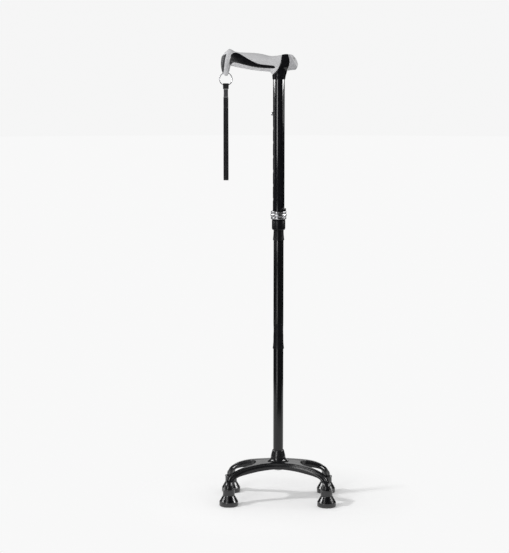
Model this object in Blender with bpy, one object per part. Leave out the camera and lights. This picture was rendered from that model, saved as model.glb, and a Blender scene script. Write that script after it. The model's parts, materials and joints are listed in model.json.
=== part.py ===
# Quad cane: a folding, height-adjustable staff on a cast base with four rubber feet.
# Metres, +Z up. The origin is on the staff's axis at floor level, and the handle's nose points to -X.
# The staff pulls apart at two sleeves, an elastic cord runs through it, a snap button sets the height,
# and a turning ring locks the outer tube. The solids stand at the lowest height, locked.

import math

import bmesh
import bpy
from mathutils import Matrix, Vector
from mathutils.geometry import interpolate_bezier

# Clearance and fineness
FIT = 0.0003  # gap between pieces that touch
SIDES = 24  # flats round a tube
FINE_SIDES = 16  # flats round a bolt, hole or washer

# Rubber feet
FOOT_SPREAD_X = 0.0885  # foot centres from the staff, sideways
FOOT_SPREAD_Y = 0.0485  # foot centres from the staff, front to back
FOOT_DIAMETER = 0.034
FOOT_HEIGHT = 0.031
FOOT_COLLAR_DIAMETER = 0.0214
FOOT_COLLAR_LENGTH = 0.0118
FOOT_RIM_HEIGHT = 0.0082
FOOT_EDGE_RADIUS = 0.0025
FOOT_LIP = 0.0005  # how far the lip at the mouth stands out
FOOT_LIP_HEIGHT = 0.0014
FOOT_SOLE = 0.0064  # rubber under the leg's washer
SOLE_GROOVE_RADIUS = 0.0098
SOLE_GROOVE_WIDTH = 0.0018
SOLE_GROOVE_DEPTH = 0.0012
FOOT_WASHER_THICKNESS = 0.0012

# Cast base
LEG_DIAMETER = 0.0150
PLATE_TOP = 0.0720  # height of the plate above the floor
BEAM_OFFSET = 0.0160  # beam centre lines from the staff, front to back
BEAM_TOP_WIDTH = 0.0092
BEAM_ABOVE = 0.0062  # top face above the beam's centre line
BEAM_BELOW = 0.0062  # bottom face below it, at the hub
ARM_BELOW = 0.0069  # the same in the arms
BEAM_LOWER_WIDTH = 0.0104  # widest part of the section at the hub
ARM_LOWER_WIDTH = 0.0124
LEDGE_DEPTH = 0.0046  # from the top face down to the ledge where the section widens
BEAM_EDGE = 0.0009  # bevel along a beam's edges
ARCH_RADIUS = 0.2710  # the plate and the straight part of the beams follow this arch
ARM_START = 0.0318  # where the arms begin to spread
ARM_TURN = 15.0  # degrees that an arm turns outwards there
ARM_RUN = 0.0634  # how far an arm holds its direction before it bends down
LEG_TOP = 0.0355  # height at which an arm has turned into a straight leg
LEG_RISE = 0.0112  # the bend comes into the leg from this far above,
BEND_IN_X = 0.0080  # this far in from the leg sideways
BEND_IN_Y = 0.0140  # and this far in from front to back
LEG_ROUNDING = 0.0257  # height over which the section turns round
ARM_FULL = 0.0300  # where the section has grown to an arm's
ARM_STEPS = 10
ARCH_STEPS = 2
WEB_HALF_DEPTH = 0.0140
WEB_THICKNESS = 0.0080
WEB_STEP = 0.0004  # its top below the beams' tops
WEB_REACH = 0.0460
WEB_END = 0.0410  # end of the web between the beams, at its middle
WEB_END_RADIUS = 0.0240

# Hub cone of the base
HUB_HEIGHT = 0.0205  # above the plate
HUB_TOP_RADIUS = 0.0104
HUB_NECK_RADIUS = 0.0133  # where the cone runs out into its fillet
HUB_FOOT_RADIUS = 0.0186
HUB_FILLET_HEIGHT = 0.0065
HUB_FLOOR = 0.0037  # casting under the staff
BOSS_RADIUS = 0.0150  # the hub below the plate
BOSS_DEPTH = 0.0121  # its lower face below the plate's top

# Staff tubes
STAFF_DIAMETER = 0.0182
STAFF_WALL = 0.0012
LOWER_TUBE_LENGTH = 0.2190
MIDDLE_TUBE_LENGTH = 0.1552

# Sleeves and spigots of the two pull-apart joints
SLEEVE_LENGTH = 0.0451
SLEEVE_MOUTH_RADIUS = 0.0103
SLEEVE_FLARE_LENGTH = 0.0160
SLEEVE_WAIST_DEPTH = 0.00035
SLEEVE_WAIST_LENGTH = 0.0220
SEAT_DEPTH = 0.0025  # how far a tube's end sits in the sleeve's mouth
SPIGOT_LENGTH = 0.0300
SPIGOT_ROOT_RADIUS = 0.0076
SPIGOT_TIP_RADIUS = 0.0066
SPIGOT_FLANGE = 0.0010
PLUG_LENGTH = 0.0250  # the part of a sleeve or spigot that is fixed inside its tube
CORD_HOLE_RADIUS = 0.0032
CORD_DIAMETER = 0.0040
CORD_SOCKET = 0.0060  # depth of the cord's end in its stop or plug

# Foot of the staff
STAFF_INSERT_LENGTH = 0.0300
BOLT_DIAMETER = 0.0078
BOLT_REACH = 0.0130  # how far the bolt goes into the staff's insert
BOLT_HEAD_ACROSS = 0.0130
BOLT_HEAD_HEIGHT = 0.0032
BASE_WASHER_RADIUS = 0.0100
BASE_WASHER_THICKNESS = 0.0012

# Cord stop in the inner tube
STOP_RADIUS = 0.0066
STOP_LENGTH = 0.0090

# Outer tube and its adjustment holes
OUTER_DIAMETER = 0.0210
OUTER_WALL = 0.0011
HOLE_PITCH = 0.0254
HOLE_COUNT = 7
HOLES_ABOVE_END = 0.0331  # lowest hole above the outer tube's end
OUTER_ABOVE_HOLES = 0.0925  # tube above the highest hole

# Snap button and its spring
BUTTON_BELOW_TOP = 0.0305  # below the inner tube's upper end
BUTTON_RADIUS = 0.0032
BUTTON_PROUD = 0.0031  # beyond the outer tube
BUTTON_DOME = 0.0016
BUTTON_STEM_RADIUS = 0.0021
BUTTON_HEAD_RADIUS = 0.0033
BUTTON_HEAD_THICKNESS = 0.0008
SPRING_THICKNESS = 0.0005
SPRING_WIDTH = 0.0076
SPRING_ABOVE_BUTTON = 0.0080
SPRING_BELOW_BUTTON = 0.0220

# Bush on the inner tube
GUIDE_PLUG_LENGTH = 0.0100
GUIDE_FLANGE = 0.0025
GUIDE_HOLE_RADIUS = 0.0040

# Lock on the outer tube's lower end
LOCK_ABOVE_FLARE = 0.0027  # its lower edge above the flare of the upper sleeve
SKIRT_RADIUS = 0.0121
SKIRT_LENGTH = 0.0192
SKIRT_EDGE = 0.0015  # rounding at the lower end, across
SKIRT_EDGE_HEIGHT = 0.0034  # and along the staff
COLLAR_WALL = 0.0008  # the collar's sleeve round the outer tube
COLLAR_OVERLAP = 0.0121  # how far that sleeve reaches up the tube
COLLAR_SHELF = 0.0010  # thickness of the step under the tube's end
RING_RADIUS = 0.0140
RING_LENGTH = 0.0140
RING_EDGE = 0.0007
LUG_RADIUS = 0.0134
LUG_HEIGHT = 0.0050
LUG_ANGLE = -36.0  # degrees, middle of the lug seen from above
LUG_SPAN = 68.0
COLLET_WALL = 0.0010
COLLET_SLOTS = 6
COLLET_SLOT_WIDTH = 0.0012
COLLET_SLOT_LENGTH = 0.0120

# Handle, with heights above the neck's lower edge
TUBE_TOP_IN_HANDLE = 0.0318
SOCKET_WALL = 0.0008  # core round the outer tube
STUB_RADIUS = 0.0091  # the core's plug inside the outer tube
STUB_DEPTH = 0.0200
TAIL_END = 0.0337
GRIP_END = -0.0905
GRIP_TOP = [(-0.0920, 0.0496), (-0.0790, 0.0495), (-0.0700, 0.0480), (-0.0450, 0.0470),
            (-0.0300, 0.0451), (-0.0150, 0.0418), (-0.0040, 0.0420), (0.0110, 0.0448),
            (0.0230, 0.0442), (0.0337, 0.0440)]
GRIP_BOTTOM = [(-0.0920, 0.0262), (-0.0790, 0.0228), (-0.0520, 0.0176), (-0.0300, 0.0149),
               (-0.0120, 0.0140), (0.0080, 0.0148), (0.0200, 0.0164), (0.0337, 0.0175)]
GRIP_HALF_WIDTH = [(-0.0920, 0.0118), (-0.0700, 0.0138), (-0.0450, 0.0143), (-0.0150, 0.0134),
                   (0.0100, 0.0130), (0.0337, 0.0118)]
GRIP_SIDES = 20
TAIL_HEART = 0.0260  # height at which the tail reaches furthest
TAIL_TOP_ROUNDING = 0.0120
TAIL_BOTTOM_ROUNDING = 0.0060
TAIL_SIDE_ROUNDING = 0.0090
NOSE_TIP = 0.0062
NOSE_PEAK = 0.0542
NOSE_OUTER = [(0.0060, -0.0962), (0.0105, -0.0998), (0.0176, -0.1019), (0.0286, -0.1030),
              (0.0395, -0.1016), (0.0434, -0.0998), (0.0474, -0.0962), (0.0517, -0.0923),
              (0.0545, -0.0895)]
NOSE_INNER = [(0.0060, -0.0905), (0.0110, -0.0886), (0.0206, -0.0866), (0.0286, -0.0848),
              (0.0400, -0.0800), (0.0499, -0.0789), (0.0527, -0.0826), (0.0545, -0.0865)]
NOSE_HALF_WIDTH = [(0.0060, 0.0052), (0.0120, 0.0076), (0.0200, 0.0098), (0.0320, 0.0124),
                   (0.0420, 0.0124), (0.0490, 0.0096), (0.0545, 0.0050)]
NECK_TOP = 0.0220
NECK_HALF_WIDTH = [(0.0000, 0.0110), (0.0090, 0.0120), (0.0220, 0.0128)]
NECK_LEFT = [(0.0000, -0.0110), (0.0084, -0.0119), (0.0118, -0.0140), (0.0160, -0.0178),
             (0.0230, -0.0240)]
NECK_RIGHT = [(0.0000, 0.0110), (0.0060, 0.0119), (0.0110, 0.0134), (0.0170, 0.0152),
              (0.0230, 0.0175)]
BAND_LEFT = [(0.0076, -0.0125), (0.0100, -0.0094), (0.0146, -0.0043), (0.0206, -0.0002),
             (0.0318, 0.0039), (0.0448, 0.0055), (0.0560, 0.0060)]
BAND_RIGHT = [(0.0120, 0.0138), (0.0206, 0.0163), (0.0327, 0.0186), (0.0448, 0.0167),
              (0.0560, 0.0150)]
BAND_PROUD = 0.0003  # the black band stands out of the grey covers
CORE_DEPTH = 0.0042  # grey cover's thickness over the core
CORE_NOSE_END = 0.0090  # the core ends this far short of the grip's end
CORE_TAIL_END = 0.0020  # and this far short of the tail's
CORE_OVER_TUBE = 0.0015  # core above the outer tube's end
CORE_SLEEVE_START = 0.0120  # where its sleeve round the tube begins
HANDLE_REACH = 0.0400  # cutters reach this far past the handle's middle plane
HANDLE_PAST_ENDS = 0.1300  # and this far from the staff, past nose and tail
NECK_REACH = 0.0220  # and this far from it at the neck's foot
BELOW_NECK = 0.0035
INLAY_TOP = [(-0.0846, 0.0395), (-0.0842, 0.0429), (-0.0817, 0.0457), (-0.0771, 0.0472),
             (-0.0718, 0.0462), (-0.0675, 0.0442), (-0.0620, 0.0410), (-0.0520, 0.0350),
             (-0.0418, 0.0299), (-0.0317, 0.0268), (-0.0165, 0.0252), (-0.0085, 0.0238)]
INLAY_BOTTOM = [(-0.0070, 0.0222), (-0.0083, 0.0205), (-0.0214, 0.0206), (-0.0369, 0.0217),
                (-0.0521, 0.0245), (-0.0640, 0.0274), (-0.0764, 0.0306), (-0.0808, 0.0304),
                (-0.0842, 0.0276), (-0.0858, 0.0246), (-0.0870, 0.0285), (-0.0861, 0.0350)]
INLAY_INNER_EDGE = 0.0060  # the inlays start this far out from the handle's middle plane
CAP_EDGE = [(0.0080, -0.1002), (0.0130, -0.0985), (0.0188, -0.0973), (0.0250, -0.0967),
            (0.0346, -0.0955), (0.0410, -0.0938), (0.0452, -0.0930), (0.0420, -0.0993),
            (0.0370, -0.1100)]

# Ring and strap
RING_CENTRE_X = -0.0943
STRAP_RING_DIAMETER = 0.0240
RING_WIRE_WIDTH = 0.0015  # radially
RING_WIRE_THICKNESS = 0.0009
RING_TURN_GAP = 0.00045
RING_TURNS = 1.88
RING_STEPS = 26
RING_ABOVE_NECK = 0.0120  # the ring's pivot above the neck's lower edge
RING_HOLE_LENGTH = 0.0210
TAB_WIDTH = 0.0101
TAB_THICKNESS = 0.0012
TAB_FOLD_RADIUS = 0.0015  # inside corners of the tab's fold over the ring
TAB_BELOW_WIRE = 0.0047
STRAP_SWING = 60.0  # degrees to each side that the tab has room for on the ring
NECK_TAPE_WIDTH = 0.0081
NECK_TAPE_THICKNESS = 0.0024
NECK_TAPE_LENGTH = 0.0138
STRAP_WIDTH = 0.0087
STRAP_THICKNESS = 0.0014
STRAP_LENGTH = 0.1483
STRAP_SEWN_LENGTH = 0.0215
STRAP_BOTTOM_HALF_GAP = 0.0040

# Places worked out from the sizes above, heights above the floor
STAFF_RADIUS = STAFF_DIAMETER / 2
STAFF_BORE = STAFF_RADIUS - STAFF_WALL
OUTER_RADIUS = OUTER_DIAMETER / 2
OUTER_BORE = OUTER_RADIUS - OUTER_WALL
PLUG_RADIUS = STAFF_BORE - FIT
BOSS_UNDERSIDE = PLATE_TOP - BOSS_DEPTH
STAFF_BOTTOM = BOSS_UNDERSIDE + HUB_FLOOR + FIT
LOWER_TUBE_TOP = STAFF_BOTTOM + LOWER_TUBE_LENGTH
MIDDLE_MOUTH = LOWER_TUBE_TOP - SEAT_DEPTH
MIDDLE_TUBE_BOTTOM = MIDDLE_MOUTH + SLEEVE_LENGTH + FIT
MIDDLE_TUBE_TOP = MIDDLE_TUBE_BOTTOM + MIDDLE_TUBE_LENGTH
UPPER_MOUTH = MIDDLE_TUBE_TOP - SEAT_DEPTH
INNER_TUBE_BOTTOM = UPPER_MOUTH + SLEEVE_LENGTH + FIT
LOCK_BOTTOM = UPPER_MOUTH + SLEEVE_FLARE_LENGTH + LOCK_ABOVE_FLARE
LOCK_SEAT = LOCK_BOTTOM + SKIRT_LENGTH
LUG_BASE = LOCK_SEAT + RING_LENGTH + 2 * FIT
OUTER_TUBE_BOTTOM = LUG_BASE - COLLAR_OVERLAP
BUTTON_HEIGHT = OUTER_TUBE_BOTTOM + HOLES_ABOVE_END + (HOLE_COUNT - 1) * HOLE_PITCH
INNER_TUBE_TOP = BUTTON_HEIGHT + BUTTON_BELOW_TOP
OUTER_TUBE_TOP = BUTTON_HEIGHT + OUTER_ABOVE_HOLES
HANDLE_BASE = OUTER_TUBE_TOP - TUBE_TOP_IN_HANDLE
COLLAR_BORE = OUTER_RADIUS + FIT
COLLAR_RADIUS = COLLAR_BORE + COLLAR_WALL
RING_PIVOT = HANDLE_BASE + RING_ABOVE_NECK
RING_WIRE_RADIUS = (STRAP_RING_DIAMETER - RING_WIRE_WIDTH) / 2
STRAP_PIVOT = RING_PIVOT - 2 * RING_WIRE_RADIUS

# Colour, roughness and metallic value of each finish
FINISHES = {
    "gloss_black": ((0.012, 0.012, 0.014), 0.12, 0.0),
    "satin_black": ((0.018, 0.018, 0.020), 0.38, 0.0),
    "black_plastic": ((0.014, 0.014, 0.016), 0.28, 0.0),
    "cast_black": ((0.020, 0.020, 0.022), 0.33, 0.0),
    "rubber": ((0.022, 0.022, 0.023), 0.45, 0.0),
    "grip_grey": ((0.49, 0.49, 0.50), 0.62, 0.0),
    "cap_grey": ((0.060, 0.060, 0.064), 0.50, 0.0),
    "silver": ((0.60, 0.60, 0.61), 0.30, 1.0),
    "chrome": ((0.75, 0.75, 0.76), 0.10, 1.0),
    "steel": ((0.42, 0.42, 0.43), 0.35, 1.0),
    "nylon_white": ((0.62, 0.62, 0.60), 0.50, 0.0),
    "webbing": ((0.015, 0.015, 0.016), 0.80, 0.0),
}


def clear_objects():
    for item in list(bpy.data.objects):
        bpy.data.objects.remove(item, do_unlink=True)


def finish_of(node, finish):
    colour, roughness, metallic = FINISHES[finish]
    material = bpy.data.materials.new(node + "_" + finish)
    material.use_nodes = True
    shader = material.node_tree.nodes["Principled BSDF"]
    shader.inputs["Base Color"].default_value = (*colour, 1.0)
    shader.inputs["Roughness"].default_value = roughness
    shader.inputs["Metallic"].default_value = metallic
    material.diffuse_color = (*colour, 1.0)
    return material


def pivot(name, place, parent=None):
    """Empty that carries a moving section; place is in world coordinates."""
    empty = bpy.data.objects.new(name, None)
    bpy.context.scene.collection.objects.link(empty)
    empty.parent = parent
    empty.location = Vector(place) - (world_place(parent) if parent else Vector())
    return empty


def world_place(item):
    place = Vector(item.location)
    while item.parent:
        item = item.parent
        place += item.location
    return place


def mesh_from(bm, name, sharp_angle=32.0):
    bmesh.ops.remove_doubles(bm, verts=bm.verts, dist=1e-6)
    bmesh.ops.recalc_face_normals(bm, faces=bm.faces)
    mesh = bpy.data.meshes.new(name)
    bm.to_mesh(mesh)
    bm.free()
    mesh.shade_smooth()
    mesh.set_sharp_from_angle(angle=math.radians(sharp_angle))
    return mesh


def node(name, mesh, finish, parent, place=(0, 0, 0)):
    """Object of one sub-part; place is its origin in world coordinates."""
    item = bpy.data.objects.new(name, mesh)
    bpy.context.scene.collection.objects.link(item)
    item.parent = parent
    item.location = Vector(place) - world_place(parent)
    if not mesh.materials:
        mesh.materials.append(finish_of(name, finish))
    return item


def cutter(name, mesh, parent, place=(0, 0, 0)):
    """Hidden tool of a Boolean."""
    item = bpy.data.objects.new(name, mesh)
    bpy.context.scene.collection.objects.link(item)
    item.parent = parent
    item.location = Vector(place) - world_place(parent)
    item.hide_render = True
    item.display_type = "WIRE"
    return item


def boolean(target, tool, operation):
    modifier = target.modifiers.new(tool.name, "BOOLEAN")
    modifier.operation = operation
    modifier.solver = "EXACT"
    modifier.object = tool


def turned_mesh(name, profile, sides=SIDES, sharp_angle=32.0):
    """Turns a closed outline of (radius, height) points about Z."""
    bm = bmesh.new()
    points = [bm.verts.new((radius, 0, height)) for radius, height in profile]
    edges = [bm.edges.new(pair) for pair in zip(points, points[1:])]
    on_axis = profile[0][0] == 0 and profile[-1][0] == 0
    if not on_axis:
        edges.append(bm.edges.new((points[-1], points[0])))
    bmesh.ops.spin(bm, geom=points + edges, cent=(0, 0, 0), axis=(0, 0, 1),
                   angle=2 * math.pi, steps=sides, use_merge=True)
    return mesh_from(bm, name, sharp_angle)


def tube_mesh(name, radius, bore, low, high, sides=SIDES):
    return turned_mesh(name, [(bore, low), (radius, low), (radius, high), (bore, high)], sides)


def rod_mesh(name, radius, low, high, sides=FINE_SIDES, axis="Z"):
    bm = bmesh.new()
    bmesh.ops.create_cone(bm, cap_ends=True, segments=sides, radius1=radius, radius2=radius,
                          depth=high - low)
    bmesh.ops.translate(bm, verts=bm.verts, vec=(0, 0, (high + low) / 2))
    if axis != "Z":
        turn = Matrix.Rotation(math.pi / 2, 4, "Y" if axis == "X" else "X")
        bmesh.ops.transform(bm, matrix=turn, verts=bm.verts)
    return mesh_from(bm, name)


def prism_mesh(name, outline, low, high, plane="XY"):
    """Extrudes a closed outline; plane XZ takes (x, z) points and runs along Y, YZ runs along X."""
    bm = bmesh.new()
    lay = {"XY": lambda a, b, h: (a, b, h), "XZ": lambda a, b, h: (a, h, b),
           "YZ": lambda a, b, h: (h, a, b)}[plane]
    face = bm.faces.new([bm.verts.new(lay(a, b, low)) for a, b in outline])
    grown = bmesh.ops.extrude_face_region(bm, geom=[face])
    tips = [item for item in grown["geom"] if isinstance(item, bmesh.types.BMVert)]
    step = Vector(lay(0, 0, high)) - Vector(lay(0, 0, low))
    bmesh.ops.translate(bm, verts=tips, vec=step)
    return mesh_from(bm, name)


def lofted_mesh(name, rings, sharp_angle=40.0):
    """Skins closed rings of equal point counts and caps both ends."""
    bm = bmesh.new()
    rows = [[bm.verts.new(point) for point in ring] for ring in rings]
    count = len(rows[0])
    for row, after in zip(rows, rows[1:]):
        for i in range(count):
            j = (i + 1) % count
            bm.faces.new((row[i], row[j], after[j], after[i]))
    bm.faces.new(list(reversed(rows[0])))
    bm.faces.new(rows[-1])
    return mesh_from(bm, name, sharp_angle)


def line_through(points):
    """Smooth function through (position, value) points, flat beyond its ends."""
    at = [p[0] for p in points]
    value = [p[1] for p in points]
    slope = []
    for i in range(len(points)):
        low = max(i - 1, 0)
        high = min(i + 1, len(points) - 1)
        slope.append((value[high] - value[low]) / (at[high] - at[low]))

    def read(x):
        if x <= at[0]:
            return value[0]
        if x >= at[-1]:
            return value[-1]
        i = max(k for k in range(len(at) - 1) if at[k] <= x)
        span = at[i + 1] - at[i]
        t = (x - at[i]) / span
        rise = value[i] * (2 * t ** 3 - 3 * t ** 2 + 1) + value[i + 1] * (3 * t ** 2 - 2 * t ** 3)
        lean = slope[i] * (t ** 3 - 2 * t ** 2 + t) + slope[i + 1] * (t ** 3 - t ** 2)
        return rise + lean * span

    return read


def ease(x, low, high):
    """0 below low, 1 above high, smooth between."""
    t = min(max((x - low) / (high - low), 0.0), 1.0)
    return t * t * (3 - 2 * t)


def arc(centre, radius, start, end, steps):
    """Points of a circular arc, angles in degrees."""
    angles = [math.radians(start + (end - start) * i / steps) for i in range(steps + 1)]
    return [(centre[0] + radius * math.cos(a), centre[1] + radius * math.sin(a)) for a in angles]


# Base


def foot_mesh():
    """Flared rubber tip with a grooved sole and a bore for the leg."""
    radius = FOOT_DIAMETER / 2
    collar = FOOT_COLLAR_DIAMETER / 2
    bore = LEG_DIAMETER / 2 + FIT
    edge = FOOT_EDGE_RADIUS
    groove_in = SOLE_GROOVE_RADIUS - SOLE_GROOVE_WIDTH / 2
    groove_out = SOLE_GROOVE_RADIUS + SOLE_GROOVE_WIDTH / 2
    lip = collar + FOOT_LIP
    profile = [(0, 0), (groove_in, 0), (groove_in, SOLE_GROOVE_DEPTH),
               (groove_out, SOLE_GROOVE_DEPTH), (groove_out, 0)]
    profile += arc((radius - edge, edge), edge, -90, 0, 3)
    profile += [(radius, FOOT_RIM_HEIGHT), (collar, FOOT_HEIGHT - FOOT_COLLAR_LENGTH),
                (collar, FOOT_HEIGHT - FOOT_LIP_HEIGHT - FOOT_LIP),
                (lip, FOOT_HEIGHT - FOOT_LIP_HEIGHT), (lip, FOOT_HEIGHT - FOOT_LIP),
                (collar, FOOT_HEIGHT), (bore, FOOT_HEIGHT), (bore, FOOT_SOLE), (0, FOOT_SOLE)]
    return turned_mesh("foot", profile, sides=20)


def foot_places():
    return {f"{depth}_{side}": (x * FOOT_SPREAD_X, y * FOOT_SPREAD_Y, 0)
            for depth, y in (("front", -1), ("rear", 1))
            for side, x in (("left", -1), ("right", 1))}


def add_feet(base):
    tip = foot_mesh()
    washer_low = FOOT_SOLE + FIT
    washer = rod_mesh("foot_washer", LEG_DIAMETER / 2, washer_low,
                      washer_low + FOOT_WASHER_THICKNESS)
    for where, place in foot_places().items():
        node("foot_" + where, tip, "rubber", base, place)
        node("foot_washer_" + where, washer, "steel", base, place)


def arch_height(x):
    """Height of the beams' centre lines, without their arms."""
    return PLATE_TOP - BEAM_ABOVE - ARCH_RADIUS + math.sqrt(ARCH_RADIUS ** 2 - x ** 2)


def arch_half():
    """Centre-line points and upward directions (x, z) of the arch, from the middle to ARM_START."""
    points = []
    for i in range(ARCH_STEPS + 1):
        x = ARM_START * i / ARCH_STEPS
        lean = x / ARCH_RADIUS
        points.append(((x, arch_height(x)), (lean, math.sqrt(1 - lean ** 2))))
    return points


def arm_half():
    """Centre line of the front beam's +X arm, from ARM_START to inside the foot."""
    (x, z), (lean, rise) = arch_half()[-1]
    start = Vector((x, -BEAM_OFFSET, z))
    knee = Vector((FOOT_SPREAD_X, -FOOT_SPREAD_Y, LEG_TOP))
    turn = math.radians(ARM_TURN)
    leaving = Vector((rise * math.cos(turn), -math.sin(turn), -lean * math.cos(turn)))
    level = start + leaving * ARM_RUN
    bend = knee + Vector((-BEND_IN_X, BEND_IN_Y, LEG_RISE))
    curve = interpolate_bezier(start, level, bend, knee, ARM_STEPS + 1)[1:]
    end_height = FOOT_SOLE + FOOT_WASHER_THICKNESS + 2 * FIT
    middle = (LEG_TOP + end_height) / 2
    legs = [Vector((knee.x, knee.y, middle)), Vector((knee.x, knee.y, end_height))]
    return curve + legs


def beam_section(arm_part, round_part):
    """Section of a beam as (outward, up) points: plain at the hub, stepped in an arm, then round."""
    top_half = BEAM_TOP_WIDTH / 2
    half = (BEAM_LOWER_WIDTH + (ARM_LOWER_WIDTH - BEAM_LOWER_WIDTH) * arm_part) / 2
    low = -BEAM_BELOW - (ARM_BELOW - BEAM_BELOW) * arm_part
    ledge = BEAM_ABOVE - LEDGE_DEPTH
    edge = BEAM_EDGE
    side = [(0, BEAM_ABOVE), (top_half - edge / 2, BEAM_ABOVE),
            (top_half + edge / 3, BEAM_ABOVE - edge),
            (top_half + (half - top_half) / 3, ledge), (half - edge / 3, ledge - edge / 2),
            (half, ledge - 2 * edge), (half, low + edge), (half - edge, low)]
    outline = side + [(0, low)] + [(-a, b) for a, b in reversed(side[1:])]
    radius = LEG_DIAMETER / 2
    section = []
    for i, (a, b) in enumerate(outline):
        angle = math.pi / 2 - 2 * math.pi * i / len(outline)
        section.append((a + (radius * math.cos(angle) - a) * round_part,
                        b + (radius * math.sin(angle) - b) * round_part))
    return section


def beam_rings():
    """Rings of the front beam from foot to foot, with frames carried along the bend."""
    rings = []
    for (x, z), (lean, rise) in arch_half():
        section = beam_section(ease(x, 0, ARM_FULL), 0.0)
        rings.append([Vector((x + lean * b, -BEAM_OFFSET - a, z + rise * b)) for a, b in section])
    arm = arm_half()
    (x, z), (lean, rise) = arch_half()[-1]
    before = Vector((x, -BEAM_OFFSET, z))
    along = Vector((rise, 0, -lean))
    out = Vector((0, -1, 0))
    for i, point in enumerate(arm):
        after = arm[min(i + 1, len(arm) - 1)]
        tangent = (after - before).normalized()
        out = along.rotation_difference(tangent) @ out
        along = tangent
        up = out.cross(tangent)
        round_part = ease(-point.z, -LEG_TOP - LEG_ROUNDING, -LEG_TOP)
        section = beam_section(ease(point.x, 0, ARM_FULL), round_part)
        rings.append([point + out * a + up * b for a, b in section])
        before = point
    mirrored = [[Vector((-p.x, p.y, p.z)) for p in ring] for ring in reversed(rings[1:])]
    return mirrored + rings


def web_mesh():
    """Arched plate between the two beams."""
    top = []
    for i in range(-4, 5):
        x = WEB_REACH * i / 4
        top.append((x, arch_height(x) + BEAM_ABOVE - WEB_STEP))
    low = [(x, z - WEB_THICKNESS) for x, z in reversed(top)]
    return prism_mesh("web", top + low, -WEB_HALF_DEPTH, WEB_HALF_DEPTH, "XZ")


def hub_mesh():
    """Cone round the staff that runs out into the plate in a hollow fillet, and the boss below."""
    top = PLATE_TOP + HUB_HEIGHT
    rise = HUB_FILLET_HEIGHT
    run = HUB_FOOT_RADIUS - HUB_NECK_RADIUS
    foot = PLATE_TOP - WEB_THICKNESS / 2
    fillet = [(HUB_FOOT_RADIUS - run * math.sin(math.radians(a)),
               PLATE_TOP + rise * (1 - math.cos(math.radians(a)))) for a in (0, 25, 50, 72, 90)]
    profile = [(0, BOSS_UNDERSIDE), (BOSS_RADIUS - 0.001, BOSS_UNDERSIDE),
               (BOSS_RADIUS, BOSS_UNDERSIDE + 0.001), (BOSS_RADIUS, foot), (HUB_FOOT_RADIUS, foot)]
    profile += fillet
    profile += [(HUB_TOP_RADIUS, top - 0.0008), (HUB_TOP_RADIUS - 0.0006, top), (0, top)]
    return turned_mesh("hub", profile)


def add_quad_base(base):
    casting = node("quad_base", lofted_mesh("quad_base", beam_rings()), "cast_black", base)
    rear = [[Vector((-p.x, -p.y, p.z)) for p in ring] for ring in beam_rings()]
    boolean(casting, cutter("rear_beam", lofted_mesh("rear_beam", rear), base), "UNION")
    web = cutter("web", web_mesh(), base)
    rounding = rod_mesh("web_end", WEB_END_RADIUS, 0.0, PLATE_TOP + 0.002, 3 * SIDES)
    for side in (-1, 1):
        place = (side * (WEB_END + WEB_END_RADIUS), 0, 0)
        boolean(web, cutter("web_end", rounding, base, place), "DIFFERENCE")
    boolean(casting, web, "UNION")
    boolean(casting, cutter("hub", hub_mesh(), base), "UNION")
    bolt_hole = BOLT_DIAMETER / 2 + FIT
    tube_hole = STAFF_RADIUS + FIT
    low = BOSS_UNDERSIDE - 0.002
    floor = BOSS_UNDERSIDE + HUB_FLOOR
    high = PLATE_TOP + HUB_HEIGHT + 0.002
    socket = [(0, low), (bolt_hole, low), (bolt_hole, floor), (tube_hole, floor),
              (tube_hole, high), (0, high)]
    boolean(casting, cutter("staff_socket", turned_mesh("staff_socket", socket), base),
            "DIFFERENCE")


def add_base_fixing(base):
    """Bolt and washer that hold the staff in the hub, and the insert they screw into."""
    washer_top = BOSS_UNDERSIDE - FIT
    washer_low = washer_top - BASE_WASHER_THICKNESS
    node("base_washer", tube_mesh("base_washer", BASE_WASHER_RADIUS, BOLT_DIAMETER / 2 + FIT,
                                  washer_low, washer_top, FINE_SIDES), "steel", base)
    head_top = washer_low - FIT
    shank = rod_mesh("bolt_shank", BOLT_DIAMETER / 2, head_top - BOLT_HEAD_HEIGHT / 2,
                     STAFF_BOTTOM + BOLT_REACH)
    bolt = node("base_bolt", rod_mesh("base_bolt", BOLT_HEAD_ACROSS / math.sqrt(3),
                                      head_top - BOLT_HEAD_HEIGHT, head_top, 6), "steel", base)
    boolean(bolt, cutter("bolt_shank", shank, base), "UNION")
    insert = STAFF_BOTTOM + STAFF_INSERT_LENGTH
    hole = BOLT_DIAMETER / 2 + FIT
    cord_hole = CORD_DIAMETER / 2 + FIT
    profile = [(hole, STAFF_BOTTOM), (PLUG_RADIUS, STAFF_BOTTOM), (PLUG_RADIUS, insert),
               (cord_hole, insert), (cord_hole, insert - CORD_SOCKET), (0, insert - CORD_SOCKET),
               (0, STAFF_BOTTOM + BOLT_REACH + FIT), (hole, STAFF_BOTTOM + BOLT_REACH + FIT)]
    node("lower_tube_plug", closed_turned_mesh("lower_tube_plug", profile), "steel", base)


def closed_turned_mesh(name, profile):
    """Turned piece whose outline touches the axis along one stretch."""
    start = max(i for i, point in enumerate(profile) if point[0] == 0)
    ordered = profile[start:] + profile[:start]
    return turned_mesh(name, ordered)


# Staff


def sleeve_outside(height):
    """Outer radius of a joint sleeve at a height above its mouth."""
    flare = max(0.0, 1 - height / SLEEVE_FLARE_LENGTH) ** 1.7
    radius = STAFF_RADIUS + (SLEEVE_MOUTH_RADIUS - STAFF_RADIUS) * flare
    waist = (height - SLEEVE_LENGTH + SLEEVE_WAIST_LENGTH) / SLEEVE_WAIST_LENGTH
    if 0 < waist < 1:
        radius -= SLEEVE_WAIST_DEPTH * math.sin(math.pi * waist)
    return radius


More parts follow.
